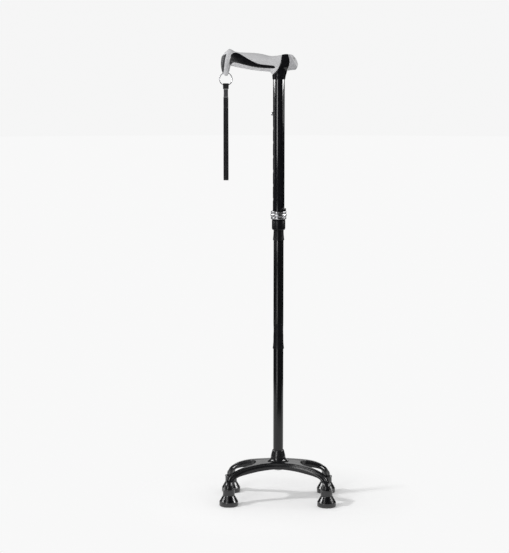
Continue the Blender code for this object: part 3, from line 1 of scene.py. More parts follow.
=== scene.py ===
# Quad cane with a cast four-foot base, a pull-apart staff, a soft grip and a wrist loop.
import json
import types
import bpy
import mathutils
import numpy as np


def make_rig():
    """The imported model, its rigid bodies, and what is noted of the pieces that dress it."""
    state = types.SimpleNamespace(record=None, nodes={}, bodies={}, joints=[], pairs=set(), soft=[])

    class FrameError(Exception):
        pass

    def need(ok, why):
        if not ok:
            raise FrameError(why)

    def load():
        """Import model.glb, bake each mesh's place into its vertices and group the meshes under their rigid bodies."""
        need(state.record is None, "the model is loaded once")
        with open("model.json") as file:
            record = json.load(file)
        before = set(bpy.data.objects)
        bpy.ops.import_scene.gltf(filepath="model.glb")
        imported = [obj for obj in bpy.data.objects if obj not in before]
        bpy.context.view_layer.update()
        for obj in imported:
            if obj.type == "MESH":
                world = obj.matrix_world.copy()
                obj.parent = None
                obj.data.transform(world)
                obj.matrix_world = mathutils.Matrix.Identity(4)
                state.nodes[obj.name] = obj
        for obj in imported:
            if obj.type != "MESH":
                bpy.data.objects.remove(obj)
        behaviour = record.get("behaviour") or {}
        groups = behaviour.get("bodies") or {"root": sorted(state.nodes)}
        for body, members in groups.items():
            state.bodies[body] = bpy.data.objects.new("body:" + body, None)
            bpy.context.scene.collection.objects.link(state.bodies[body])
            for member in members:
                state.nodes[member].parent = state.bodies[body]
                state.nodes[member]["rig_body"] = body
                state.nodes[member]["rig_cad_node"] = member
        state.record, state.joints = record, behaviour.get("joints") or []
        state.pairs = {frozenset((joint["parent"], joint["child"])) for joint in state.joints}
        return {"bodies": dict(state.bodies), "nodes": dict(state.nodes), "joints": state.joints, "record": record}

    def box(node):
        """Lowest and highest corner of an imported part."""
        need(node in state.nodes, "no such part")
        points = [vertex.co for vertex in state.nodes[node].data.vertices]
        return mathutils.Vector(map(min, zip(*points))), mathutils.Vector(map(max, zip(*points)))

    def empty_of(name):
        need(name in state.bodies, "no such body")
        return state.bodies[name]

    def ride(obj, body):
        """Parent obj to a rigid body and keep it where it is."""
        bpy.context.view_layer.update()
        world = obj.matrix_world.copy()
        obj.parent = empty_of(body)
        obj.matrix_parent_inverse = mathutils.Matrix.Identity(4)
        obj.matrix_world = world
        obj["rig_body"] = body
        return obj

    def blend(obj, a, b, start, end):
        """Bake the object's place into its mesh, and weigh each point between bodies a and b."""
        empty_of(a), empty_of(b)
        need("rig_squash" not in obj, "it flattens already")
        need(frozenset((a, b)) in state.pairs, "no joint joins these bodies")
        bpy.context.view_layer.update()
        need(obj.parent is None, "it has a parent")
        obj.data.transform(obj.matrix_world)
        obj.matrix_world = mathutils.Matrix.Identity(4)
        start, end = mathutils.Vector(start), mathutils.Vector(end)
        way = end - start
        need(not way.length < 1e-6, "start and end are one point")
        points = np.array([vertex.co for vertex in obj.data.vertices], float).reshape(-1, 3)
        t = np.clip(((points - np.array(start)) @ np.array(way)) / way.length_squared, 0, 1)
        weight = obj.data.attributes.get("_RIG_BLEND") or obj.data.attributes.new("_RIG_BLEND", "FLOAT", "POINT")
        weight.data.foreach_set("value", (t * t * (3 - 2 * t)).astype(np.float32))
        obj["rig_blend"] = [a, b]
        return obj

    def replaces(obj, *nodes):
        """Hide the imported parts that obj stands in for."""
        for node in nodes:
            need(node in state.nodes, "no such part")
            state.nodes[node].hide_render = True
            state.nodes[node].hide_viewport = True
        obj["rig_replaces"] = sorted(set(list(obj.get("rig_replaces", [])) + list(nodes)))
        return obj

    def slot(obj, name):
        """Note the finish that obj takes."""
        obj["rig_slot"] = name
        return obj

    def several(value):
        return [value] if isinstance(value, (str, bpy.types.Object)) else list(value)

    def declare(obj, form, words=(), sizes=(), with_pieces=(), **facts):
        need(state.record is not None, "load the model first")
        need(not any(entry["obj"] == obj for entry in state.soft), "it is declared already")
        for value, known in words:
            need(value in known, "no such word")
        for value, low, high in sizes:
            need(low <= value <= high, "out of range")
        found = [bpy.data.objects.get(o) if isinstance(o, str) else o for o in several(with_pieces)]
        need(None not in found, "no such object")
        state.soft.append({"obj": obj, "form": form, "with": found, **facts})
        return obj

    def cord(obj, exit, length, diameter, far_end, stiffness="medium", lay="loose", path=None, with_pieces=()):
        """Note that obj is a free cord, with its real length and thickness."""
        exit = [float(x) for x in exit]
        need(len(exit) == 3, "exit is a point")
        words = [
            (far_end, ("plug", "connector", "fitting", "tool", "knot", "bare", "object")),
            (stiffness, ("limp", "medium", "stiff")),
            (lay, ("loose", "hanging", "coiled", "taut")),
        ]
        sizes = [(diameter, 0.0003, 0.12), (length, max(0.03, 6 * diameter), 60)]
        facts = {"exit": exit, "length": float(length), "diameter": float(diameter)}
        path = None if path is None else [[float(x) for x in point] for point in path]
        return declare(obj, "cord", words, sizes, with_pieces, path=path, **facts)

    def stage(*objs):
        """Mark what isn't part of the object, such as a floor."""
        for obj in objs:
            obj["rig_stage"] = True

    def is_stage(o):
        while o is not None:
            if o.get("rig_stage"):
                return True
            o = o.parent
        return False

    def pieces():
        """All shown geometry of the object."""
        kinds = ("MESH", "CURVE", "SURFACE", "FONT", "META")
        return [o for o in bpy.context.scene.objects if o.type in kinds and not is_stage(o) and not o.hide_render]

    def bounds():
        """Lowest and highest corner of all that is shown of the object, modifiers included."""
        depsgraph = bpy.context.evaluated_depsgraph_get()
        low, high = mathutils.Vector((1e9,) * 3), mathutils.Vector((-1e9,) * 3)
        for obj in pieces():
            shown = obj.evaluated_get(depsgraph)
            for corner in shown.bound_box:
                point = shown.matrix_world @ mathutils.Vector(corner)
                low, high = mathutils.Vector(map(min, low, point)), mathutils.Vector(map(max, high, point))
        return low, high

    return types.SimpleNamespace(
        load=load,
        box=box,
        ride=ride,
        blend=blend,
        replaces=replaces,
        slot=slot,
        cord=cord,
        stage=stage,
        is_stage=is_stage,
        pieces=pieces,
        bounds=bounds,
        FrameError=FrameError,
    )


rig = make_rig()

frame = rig.load()

import json
import math

import bmesh
import bpy
import numpy as np
from mathutils import Matrix, Vector
from mathutils.geometry import interpolate_bezier

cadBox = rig.bounds()
fit = 0.0003  # clearance between pieces that touch

# heights above the floor, in metres
heights = {
    "plateTop": 0.0720,
    "bossLow": 0.0599,
    "staffFoot": 0.0639,
    "lowerTop": 0.2829,
    "middleMouth": 0.2804,
    "middleLow": 0.3258,
    "middleTop": 0.4810,
    "upperMouth": 0.4785,
    "innerLow": 0.5239,
    "innerTop": 0.7349,
    "button": 0.7044,
    "lockLow": 0.4972,
    "lockSeat": 0.5164,
    "outerLow": 0.5189,
    "lug": 0.5310,
    "outerTop": 0.7969,
    "handle": 0.7651,
    "ringPivot": 0.7771,
    "strapPivot": 0.7546,
}
ringX = -0.0943


# camera; the strap's sizes were measured against its view
# stands and tilts as given, then turns about the staff's axis: metres, degrees and millimetres of lens
view = {"turn": 1.7, "place": (-0.0433, -2.995, 0.833), "tilt": 82.0, "lens": 109.1}
cameraData = bpy.data.cameras.new("camera")
cameraData.lens = view["lens"]
cameraData.sensor_width = 36
cameraData.clip_end = 20
camera = bpy.data.objects.new("camera", cameraData)
bpy.context.scene.collection.objects.link(camera)
camera.matrix_world = (Matrix.Rotation(math.radians(view["turn"]), 4, "Z")
                       @ Matrix.Translation(view["place"])
                       @ Matrix.Rotation(math.radians(view["tilt"]), 4, "X"))
bpy.context.scene.camera = camera
bpy.context.scene.view_settings.view_transform = "Standard"


# mesh helpers


def addObject(name, mesh, paint=None):
    item = bpy.data.objects.new(name, mesh)
    bpy.context.scene.collection.objects.link(item)
    if paint:
        mesh.materials.append(paint)
    return item


def toMesh(bm, name, sharp=35):
    bmesh.ops.remove_doubles(bm, verts=bm.verts, dist=1e-7)
    bmesh.ops.recalc_face_normals(bm, faces=bm.faces)
    mesh = bpy.data.meshes.new(name)
    bm.to_mesh(mesh)
    bm.free()
    mesh.shade_smooth()
    mesh.set_sharp_from_angle(angle=math.radians(sharp))
    return mesh


def softened(points, steps=4):  # third value of a point is its corner's radius
    line = []
    for i, point in enumerate(points):
        here = Vector(point[:2])
        radius = point[2] if len(point) > 2 else 0
        if not radius:
            line.append(tuple(here))
            continue
        before = Vector(points[i - 1][:2]) - here
        after = Vector(points[(i + 1) % len(points)][:2]) - here
        half = before.angle(after) / 2
        cut = min(radius / math.tan(half), before.length * 0.48, after.length * 0.48)
        start = here + before.normalized() * cut
        end = here + after.normalized() * cut
        for k in range(steps + 1):
            t = k / steps
            line.append(tuple(start * (1 - t) ** 2 + here * 2 * t * (1 - t) + end * t * t))
    return line


def turned(name, profile, sides=96, sharp=35):
    bm = bmesh.new()
    points = [bm.verts.new((r, 0, z)) for r, z in softened(profile)]
    edges = [bm.edges.new(pair) for pair in zip(points, points[1:])]
    if points[0].co.x > 0 or points[-1].co.x > 0:
        edges.append(bm.edges.new((points[-1], points[0])))
    bmesh.ops.spin(bm, geom=points + edges, cent=(0, 0, 0), axis=(0, 0, 1),
                   angle=2 * math.pi, steps=sides, use_merge=True)
    return toMesh(bm, name, sharp)


def lofted(name, rings, sharp=50, caps=True):
    bm = bmesh.new()
    rows = [[bm.verts.new(point) for point in ring] for ring in rings]
    count = len(rows[0])
    for row, after in zip(rows, rows[1:]):
        for i in range(count):
            j = (i + 1) % count
            bm.faces.new((row[i], row[j], after[j], after[i]))
    if caps:
        bm.faces.new(list(reversed(rows[0])))
        bm.faces.new(rows[-1])
    return toMesh(bm, name, sharp)


def extruded(name, outline, low, high, plane="XZ"):
    lay = {"XY": lambda a, b, h: (a, b, h), "XZ": lambda a, b, h: (a, h, b),
           "YZ": lambda a, b, h: (h, a, b)}[plane]
    bm = bmesh.new()
    face = bm.faces.new([bm.verts.new(lay(a, b, low)) for a, b in outline])
    grown = bmesh.ops.extrude_face_region(bm, geom=[face])
    tips = [item for item in grown["geom"] if isinstance(item, bmesh.types.BMVert)]
    bmesh.ops.translate(bm, verts=tips, vec=Vector(lay(0, 0, high)) - Vector(lay(0, 0, low)))
    return toMesh(bm, name)


def rod(name, radius, low, high, sides=64, axis="Z"):
    mesh = turned(name, [(0, low), (radius, low), (radius, high), (0, high)], sides)
    if axis == "X":
        mesh.transform(Matrix.Rotation(math.pi / 2, 4, "Y"))
    return mesh


def applyAll(item):
    graph = bpy.context.evaluated_depsgraph_get()
    mesh = bpy.data.meshes.new_from_object(item.evaluated_get(graph))
    item.modifiers.clear()
    old = item.data
    item.data = mesh
    bpy.data.meshes.remove(old)
    return item


def cutWith(item, tools, operation="DIFFERENCE"):
    holders = []
    for tool in tools:
        holder = addObject("tool", tool)
        step = item.modifiers.new("cut", "BOOLEAN")
        step.operation = operation
        step.solver = "EXACT"
        step.object = holder
        holders.append(holder)
    applyAll(item)
    for holder in holders:
        bpy.data.objects.remove(holder)
    return item


def melted(item, voxel, rounds):  # one skin with soft inside corners
    remesh = item.modifiers.new("remesh", "REMESH")
    remesh.mode = "VOXEL"
    remesh.voxel_size = voxel
    smooth = item.modifiers.new("smooth", "SMOOTH")
    smooth.factor = 0.5
    smooth.iterations = rounds
    applyAll(item)
    item.data.shade_smooth()
    return item


def disc(name, radius, sides, height, paint):
    bm = bmesh.new()
    bmesh.ops.create_circle(bm, cap_ends=True, segments=sides, radius=radius)
    mesh = bpy.data.meshes.new(name)
    bm.to_mesh(mesh)
    bm.free()
    item = addObject(name, mesh, paint)
    item.location.z = height
    return item


def lineThrough(points):  # smooth function through (position, value) points
    at = [p[0] for p in points]
    value = [p[1] for p in points]
    slope = []
    for i in range(len(points)):
        low = max(i - 1, 0)
        high = min(i + 1, len(points) - 1)
        slope.append((value[high] - value[low]) / (at[high] - at[low]))

    def read(x):
        if x <= at[0]:
            return value[0]
        if x >= at[-1]:
            return value[-1]
        i = max(k for k in range(len(at) - 1) if at[k] <= x)
        span = at[i + 1] - at[i]
        t = (x - at[i]) / span
        rise = value[i] * (2 * t ** 3 - 3 * t ** 2 + 1) + value[i + 1] * (3 * t ** 2 - 2 * t ** 3)
        lean = slope[i] * (t ** 3 - 2 * t ** 2 + t) + slope[i + 1] * (t ** 3 - t ** 2)
        return rise + lean * span

    return read


def ease(x, low, high):
    t = min(max((x - low) / (high - low), 0.0), 1.0)
    return t * t * (3 - 2 * t)


def arcPoints(centre, radius, start, end, steps):
    angles = [math.radians(start + (end - start) * i / steps) for i in range(steps + 1)]
    return [(centre[0] + radius * math.cos(a), centre[1] + radius * math.sin(a)) for a in angles]


# material helpers


def put(paint, kind, settings=None, **fields):
    node = paint.node_tree.nodes.new("ShaderNode" + kind)
    for key, value in fields.items():
        setattr(node, key, value)
    for key, value in (settings or {}).items():
        node.inputs[key].default_value = value
    return node


def wire(paint, source, target):
    paint.node_tree.links.new(source, target)


def newPaint(name, look):
    paint = bpy.data.materials.new(name)
    paint.use_nodes = True
    shader = paint.node_tree.nodes["Principled BSDF"]
    shader.inputs["Base Color"].default_value = (*look["colour"], 1)
    shader.inputs["Roughness"].default_value = look["roughness"]
    shader.inputs["Metallic"].default_value = look.get("metallic", 0.0)
    shader.inputs["Specular IOR Level"].default_value = look.get("specular", 0.5)
    shader.inputs["Coat Weight"].default_value = look.get("coat", 0.0)
    shader.inputs["Coat Roughness"].default_value = look.get("coatRoughness", 0.05)
    shader.inputs["Sheen Weight"].default_value = look.get("sheen", 0.0)
    shader.inputs["Sheen Roughness"].default_value = 0.5
    paint.diffuse_color = (*look["colour"], 1)
    return paint, shader


def grain(paint, size, stretch=(1, 1, 1), detail=2.0):  # noise with spots of a real size
    where = put(paint, "TexCoord").outputs["Object"]
    turn = put(paint, "Mapping", {"Scale": stretch})
    wire(paint, where, turn.inputs["Vector"])
    noise = put(paint, "TexNoise", {"Scale": 1 / size, "Detail": detail})
    wire(paint, turn.outputs["Vector"], noise.inputs["Vector"])
    return noise.outputs["Fac"]


def spread(paint, value, low, high, fromLow=0.3, fromHigh=0.7):
    node = put(paint, "MapRange", {"From Min": fromLow, "From Max": fromHigh,
                                   "To Min": low, "To Max": high})
    wire(paint, value, node.inputs["Value"])
    return node.outputs["Result"]


def roughen(paint, shader, look, value, below, above):  # roughness that varies about its own level
    wire(paint, spread(paint, value, look["roughness"] - below, look["roughness"] + above),
         shader.inputs["Roughness"])


def tinted(colour, factor):
    return tuple(v * factor for v in colour)


def emptyPaint(name):
    paint = bpy.data.materials.new(name)
    paint.use_nodes = True
    paint.node_tree.nodes.clear()
    return paint


def calc(paint, operation, a, b=None, c=None):
    node = put(paint, "Math", operation=operation)
    for i, value in enumerate((a, b, c)):
        if value is None:
            continue
        if isinstance(value, (int, float)):
            node.inputs[i].default_value = value
        else:
            wire(paint, value, node.inputs[i])
    return node.outputs["Value"]


def blendColours(paint, factor, first, second):
    node = put(paint, "Mix", data_type="RGBA")
    wire(paint, factor, node.inputs[0])
    for socket, colour in ((node.inputs[6], first), (node.inputs[7], second)):
        if isinstance(colour, tuple):
            socket.default_value = (*colour, 1)
        else:
            wire(paint, colour, socket)
    return node.outputs[2]


def relief(paint, shader, height, depth, strength=1.0):
    node = put(paint, "Bump", {"Distance": depth, "Strength": strength})
    wire(paint, height, node.inputs["Height"])
    before = shader.inputs["Normal"].links
    if before:
        wire(paint, before[0].from_socket, node.inputs["Normal"])
    wire(paint, node.outputs["Normal"], shader.inputs["Normal"])


def axisValue(paint, axis):  # one coordinate of the piece, in metres
    where = put(paint, "TexCoord").outputs["Object"]
    split = put(paint, "SeparateXYZ")
    wire(paint, where, split.inputs["Vector"])
    return split.outputs[axis]


def radiusValue(paint):  # distance from the staff's axis
    x = axisValue(paint, "X")
    y = axisValue(paint, "Y")
    return calc(paint, "SQRT", calc(paint, "ADD", calc(paint, "MULTIPLY", x, x),
                                    calc(paint, "MULTIPLY", y, y)))


def ripple(paint, value, pitch):  # 0 to 1 wave along a coordinate
    turns = calc(paint, "MULTIPLY", value, 2 * math.pi / pitch)
    return calc(paint, "MULTIPLY_ADD", calc(paint, "SINE", turns), 0.5, 0.5)


# finishes

# the handle's tail ends in a slanted face, and its crease is a distance along the handle
# plus a share of the height
tailEnd = {"reach": 0.0337, "slant": 0.55, "slantFrom": 0.0302, "slantLength": 0.0066}
tailEnd["crease"] = (tailEnd["reach"] - tailEnd["slantLength"]
                     + (heights["handle"] + tailEnd["slantFrom"]) * tailEnd["slant"])

looks = {
    "castCoat": {"colour": (0.007, 0.007, 0.008), "roughness": 0.22, "specular": 0.42},
    "satinTube": {"colour": (0.0035, 0.0035, 0.004), "roughness": 0.17, "specular": 0.45},
    "glossTube": {"colour": (0.004, 0.004, 0.005), "roughness": 0.10, "specular": 0.45},
    "mouldedBlack": {"colour": (0.004, 0.004, 0.005), "roughness": 0.30, "specular": 0.15},
    "footRubber": {"colour": (0.004, 0.004, 0.005), "roughness": 0.19, "specular": 0.75},
    "gripGrey": {"colour": (0.44, 0.44, 0.45), "roughness": 0.62, "specular": 0.3, "sheen": 0.15},
    # the tail's grey is painted shade, darker than the grip's, and its end colour is painted light on the end face
    # beyond the crease
    "tailGreyPaintedShadeAndLight": {"colour": (0.31, 0.31, 0.32), "roughness": 0.62, "specular": 0.3, "sheen": 0.15,
                 "paintedLightEndColour": (0.60, 0.60, 0.61)},
    "handleGloss": {"colour": (0.004, 0.004, 0.005), "roughness": 0.16, "specular": 0.45},
    "capGrey": {"colour": (0.018, 0.018, 0.020), "roughness": 0.55, "specular": 0.25},
    "silverBand": {"colour": (0.42, 0.42, 0.43), "roughness": 0.33, "metallic": 1.0},
    "chromeWire": {"colour": (0.48, 0.48, 0.50), "roughness": 0.14, "metallic": 1.0},
    "webbing": {"colour": (0.007, 0.007, 0.008), "roughness": 0.80, "specular": 0.2, "sheen": 0.08},
    "plainSteel": {"colour": (0.42, 0.42, 0.43), "roughness": 0.34, "metallic": 1.0},
    "nylon": {"colour": (0.60, 0.60, 0.57), "roughness": 0.46, "specular": 0.45},
}


def castCoatPaint():
    look = looks["castCoat"]
    paint, shader = newPaint("castCoat", look)
    cloud = grain(paint, 0.018, detail=4)
    roughen(paint, shader, look, cloud, 0.04, 0.07)
    worn = put(paint, "Attribute", attribute_name="edge").outputs["Fac"]
    speck = spread(paint, grain(paint, 0.0016, detail=3), 0, 1, 0.45, 0.75)
    amount = calc(paint, "MULTIPLY", spread(paint, worn, 0, 1, 0.25, 0.9), speck)
    dark = tinted(look["colour"], 0.9)
    tone = blendColours(paint, cloud, dark, tinted(look["colour"], 1.3))
    wire(paint, blendColours(paint, amount, tone, (0.05, 0.05, 0.052)), shader.inputs["Base Color"])
    relief(paint, shader, grain(paint, 0.0022, detail=1), 0.00006, 0.5)  # orange peel
    relief(paint, shader, grain(paint, 0.0004, detail=2), 0.00001, 0.5)
    return paint


def tubePaint(name, peel, scratch):
    look = looks[name]
    paint, shader = newPaint(name, look)
    cloud = grain(paint, 0.05, (1, 1, 0.3), 4)
    roughen(paint, shader, look, cloud, 0.025, 0.035)
    drawn = grain(paint, 0.0007, (1, 1, 0.012), 3)  # lines left by the drawing die
    wire(paint, blendColours(paint, spread(paint, drawn, 0, 1), look["colour"],
                             tinted(look["colour"], 1.7)), shader.inputs["Base Color"])
    relief(paint, shader, drawn, scratch, 0.5)
    relief(paint, shader, grain(paint, 0.003, detail=1), peel, 0.4)
    return paint


def mouldedPaint(name, size, depth):
    look = looks[name]
    paint, shader = newPaint(name, look)
    cloud = grain(paint, 0.010, detail=3)
    roughen(paint, shader, look, cloud, 0.05, 0.07)
    wire(paint, blendColours(paint, cloud, look["colour"], tinted(look["colour"], 1.5)),
         shader.inputs["Base Color"])
    relief(paint, shader, grain(paint, size, detail=2), depth, 0.6)
    return paint


def footPaint():
    look = looks["footRubber"]
    paint, shader = newPaint("footRubber", look)
    cloud = grain(paint, 0.006, detail=4)
    roughen(paint, shader, look, cloud, 0.05, 0.10)
    low = spread(paint, axisValue(paint, "Z"), 1, 0, 0.0004, 0.0050)
    dust = calc(paint, "MULTIPLY", low, spread(paint, grain(paint, 0.0015, detail=4), 0, 0.8))
    wire(paint, blendColours(paint, dust, look["colour"], (0.050, 0.049, 0.047)),
         shader.inputs["Base Color"])
    relief(paint, shader, grain(paint, 0.0005, detail=2), 0.00003, 0.5)
    return paint


def gripPaint(name, slanted=False):
    look = looks[name]
    paint, shader = newPaint(name, look)
    cloud = grain(paint, 0.022, detail=3)
    fine = grain(paint, 0.0006, detail=2)
    pale = blendColours(paint, spread(paint, cloud, 0, 1), tinted(look["colour"], 0.95),
                        tinted(look["colour"], 1.03))
    pores = spread(paint, fine, 0.12, 0, 0.30, 0.45)
    if slanted:  # painted light: the end face beyond the crease is paler, as if lit from the side
        lean = calc(paint, "MULTIPLY", axisValue(paint, "Z"), tailEnd["slant"])
        reach = calc(paint, "ADD", axisValue(paint, "X"), lean)
        pale = blendColours(paint, spread(paint, reach, 0, 1, tailEnd["crease"] - 0.0006,
                                          tailEnd["crease"] + 0.0012), pale, look["paintedLightEndColour"])
    wire(paint, blendColours(paint, pores, pale, (0.30, 0.30, 0.305)), shader.inputs["Base Color"])
    roughen(paint, shader, look, cloud, 0.06, 0.08)
    relief(paint, shader, fine, 0.00006, 0.6)
    return paint


def silverPaint():
    look = looks["silverBand"]
    paint, shader = newPaint("silverBand", look)
    line = grain(paint, 0.0003, (0.01, 0.01, 1), 2)  # fine rings from turning
    roughen(paint, shader, look, line, 0.05, 0.07)
    wire(paint, blendColours(paint, line, tinted(look["colour"], 0.86),
                             tinted(look["colour"], 1.1)), shader.inputs["Base Color"])
    relief(paint, shader, line, 0.00002, 0.7)
    relief(paint, shader, grain(paint, 0.0012, detail=3), 0.00001, 0.4)
    return paint


def chromePaint():
    look = looks["chromeWire"]
    paint, shader = newPaint("chromeWire", look)
    rub = grain(paint, 0.0009, (1, 1, 0.2), 4)
    roughen(paint, shader, look, rub, 0.03, 0.12)
    relief(paint, shader, rub, 0.00001, 0.5)
    return paint


def steelPaint():
    look = looks["plainSteel"]
    paint, shader = newPaint("plainSteel", look)
    brushed = grain(paint, 0.0004, (0.05, 1, 1), 3)
    roughen(paint, shader, look, brushed, 0.08, 0.10)
    wire(paint, blendColours(paint, grain(paint, 0.006, detail=4),
                             tinted(look["colour"], 0.8),
                             tinted(look["colour"], 1.15)), shader.inputs["Base Color"])
    relief(paint, shader, brushed, 0.00001, 0.5)
    return paint


def webbingPaint(name, colour, acrossPitch=0.00085, alongPitch=0.00115):
    look = dict(looks["webbing"], colour=colour)
    paint, shader = newPaint(name, look)
    across = ripple(paint, axisValue(paint, "X"), acrossPitch)
    along = ripple(paint, axisValue(paint, "Z"), alongPitch)
    over = calc(paint, "ABSOLUTE", calc(paint, "SUBTRACT", across, along))
    thread = calc(paint, "MULTIPLY", calc(paint, "ADD", over, 0.25),
                  spread(paint, grain(paint, 0.00025, (1, 1, 0.3), 2), 0.8, 1.1))
    wire(paint, blendColours(paint, spread(paint, thread, 0, 1, 0.1, 1.1),
                             tinted(colour, 0.45), tinted(colour, 1.7)),
         shader.inputs["Base Color"])
    wire(paint, spread(paint, thread, 0.9, 0.62, 0.1, 1.1), shader.inputs["Roughness"])
    relief(paint, shader, thread, 0.00022, 0.9)
    return paint


def cordPaint():
    look = looks["webbing"]
    paint, shader = newPaint("elasticBraid", look)
    x, y, z = (axisValue(paint, axis) for axis in "XYZ")
    angle = calc(paint, "ARCTAN2", y, x)
    climb = calc(paint, "MULTIPLY", z, 2 * math.pi / 0.0024)
    first = calc(paint, "SINE", calc(paint, "MULTIPLY_ADD", angle, 8.0, climb))
    second = calc(paint, "SINE", calc(paint, "MULTIPLY_ADD", angle, -8.0, climb))
    braid = calc(paint, "MULTIPLY_ADD", calc(paint, "MAXIMUM", first, second), 0.5, 0.5)
    wire(paint, blendColours(paint, braid, (0.006, 0.006, 0.007), (0.030, 0.030, 0.032)),
         shader.inputs["Base Color"])
    wire(paint, spread(paint, braid, 0.9, 0.65, 0, 1), shader.inputs["Roughness"])
    relief(paint, shader, braid, 0.0002, 0.8)
    return paint


paints = {
    "castCoat": castCoatPaint(),
    "satinTube": tubePaint("satinTube", 0.00002, 0.000006),
    "glossTube": tubePaint("glossTube", 0.00001, 0.000002),
    "mouldedBlack": mouldedPaint("mouldedBlack", 0.0005, 0.00003),
    "footRubber": footPaint(),
    "gripGrey": gripPaint("gripGrey"),
    "tailGreyPaintedShadeAndLight": gripPaint("tailGreyPaintedShadeAndLight", slanted=True),
    "handleGloss": mouldedPaint("handleGloss", 0.0012, 0.00002),
    "capGrey": mouldedPaint("capGrey", 0.0006, 0.00008),
    "silverBand": silverPaint(),
    "chromeWire": chromePaint(),
    "webbing": webbingPaint("webbing", looks["webbing"]["colour"]),
    "neckTape": webbingPaint("neckTape", (0.040, 0.040, 0.042), 0.0016, 0.0007),
    "plainSteel": steelPaint(),
    "nylon": mouldedPaint("nylon", 0.0008, 0.00002),
    "elasticBraid": cordPaint(),
}


def dress(name, mesh, paint, body, node, slot, place=(0, 0, 0)):
    # a finished piece that stands for a node of the model
    mesh.transform(Matrix.Translation(place))
    item = addObject(name, mesh, paints[paint])
    return seat(item, body, node, slot)


def seat(item, body, node, slot):
    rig.ride(item, body)
    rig.replaces(item, node)
    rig.slot(item, slot)
    return item


# wrist loop and the tapes above it

strap = {
    "width": 0.0087, "thickness": 0.0014, "length": 0.1483, "sewn": 0.0215, "halfGap": 0.0040,
    "tabWidth": 0.0101, "tabThickness": 0.0012, "tabBelow": 0.0047, "tabBend": 0.0015,
    "tapeWidth": 0.0081, "tapeThickness": 0.0024, "tapeLength": 0.0138,
    "ringRadius": 0.01125, "wireWidth": 0.0015, "wireThick": 0.0009, "turnGap": 0.00045,
    "swing": 60.0,
}
wireReach = math.hypot(strap["wireWidth"] / 4, strap["wireThick"] + strap["turnGap"] / 2)
tabRise = strap["ringRadius"] - math.sqrt(strap["ringRadius"] ** 2 - (strap["tabWidth"] / 2) ** 2)
tabBottom = heights["strapPivot"] - wireReach - fit - strap["tabBelow"]
tapeTop = tabBottom - fit
loopTop = tapeTop - strap["tapeLength"] - fit


def tapeSection(width, thick):  # rounded edges of a woven tape, as (across, through)
    half = width / 2
    deep = thick / 2
    corner = deep * 0.85
    return softened([(-half, -deep, corner), (half, -deep, corner), (half, deep, corner),
                     (-half, deep, corner)], 3)


def loopLine():  # centre line of one side and the fold, as (y, z) from the top down
    thick = strap["thickness"]
    sewn = loopTop - strap["sewn"]
    low = loopTop - strap["length"]
    fold = strap["halfGap"]
    foldZ = low + thick + fold
    half = thick / 2
    line = [(half, loopTop - strap["sewn"] * i / 12) for i in range(12)]
    for i in range(61):
        t = i / 60
        apart = fold * ease(t, -0.18, 0.75) ** 0.8 * (1 - 0.10 * (1 - t))
        line.append((half + apart, sewn + (foldZ - sewn) * t))
    radius = fold + half
    line += [(radius * math.cos(a), foldZ - radius * math.sin(a))
             for a in (math.pi * i / 24 for i in range(1, 13))]
    return line


def tapeAlong(name, path, section, lift=0.0):  # a tape swept along a line of (y, z) points
    rings = []
    for i, (y, z) in enumerate(path):
        before = path[max(i - 1, 0)]
        after = path[min(i + 1, len(path) - 1)]
        run = Vector((0, after[0] - before[0], after[1] - before[1])).normalized()
        out = run.cross(Vector((1, 0, 0)))
        rings.append([Vector((ringX + a, y, z + lift)) + out * b for a, b in section])
    return addObject(name, lofted(name, rings, 60), paints["webbing"])


def makeLoop():
    line = loopLine()
    whole = line + [(-y, z) for y, z in reversed(line[:-1])]
    section = tapeSection(strap["width"], strap["thickness"] - 0.00006)
    return tapeAlong("wristLoop", whole, section), [(ringX, y, z) for y, z in whole]


def makeTab():  # webbing folded over the ring and sewn below it
    thick = strap["tabThickness"]
    half = wireReach + tabRise * math.sin(math.radians(strap["swing"])) + fit
    low = -wireReach - fit
    high = wireReach + tabRise + fit
    bend = strap["tabBend"]
    end = low - strap["tabBelow"]
    mid = thick / 2
    side = [(mid + 0.00002, end), (mid + 0.00002, end + 0.0009)]
    corner = interpolate_bezier(Vector((mid, end + 0.0009)),
                                Vector((mid + 0.0002, end + 0.0030)),
                                Vector((half + mid, low - 0.0006)),
                                Vector((half + mid, low + 0.0016)), 14)
    side += [tuple(p) for p in corner[1:]]
    top = arcPoints((half - bend, high - bend), bend + mid, 0, 90, 10)
    oneSide = side + top
    whole = oneSide + [(-y, z) for y, z in reversed(oneSide)]
    return tapeAlong("strapTab", whole, tapeSection(strap["tabWidth"], thick), heights["strapPivot"])


def makeNeckTape():
    section = tapeSection(strap["tapeWidth"], strap["tapeThickness"])
    low = tapeTop - strap["tapeLength"]
    steps = 40
    rings = []
    for i in range(steps + 1):
        t = i / steps
        pinch = 1 - 0.05 * math.sin(math.pi * t)
        rings.append([Vector((ringX + a * pinch, b * (1 - 0.12 * math.sin(math.pi * t)),
                              low + (tapeTop - low) * t)) for a, b in section])
    return addObject("strapNeck", lofted("strapNeck", rings, 60), paints["neckTape"])


sewing = {"stitch": 0.0021, "gap": 0.0009, "radius": 0.00021, "fromSide": 0.0011, "fromTop": 0.0016,
          "fromEnd": 0.0012, "row": 0.0026, "lastRow": 0.0020, "tabHalf": 0.0040, "tabUp": 0.0009}


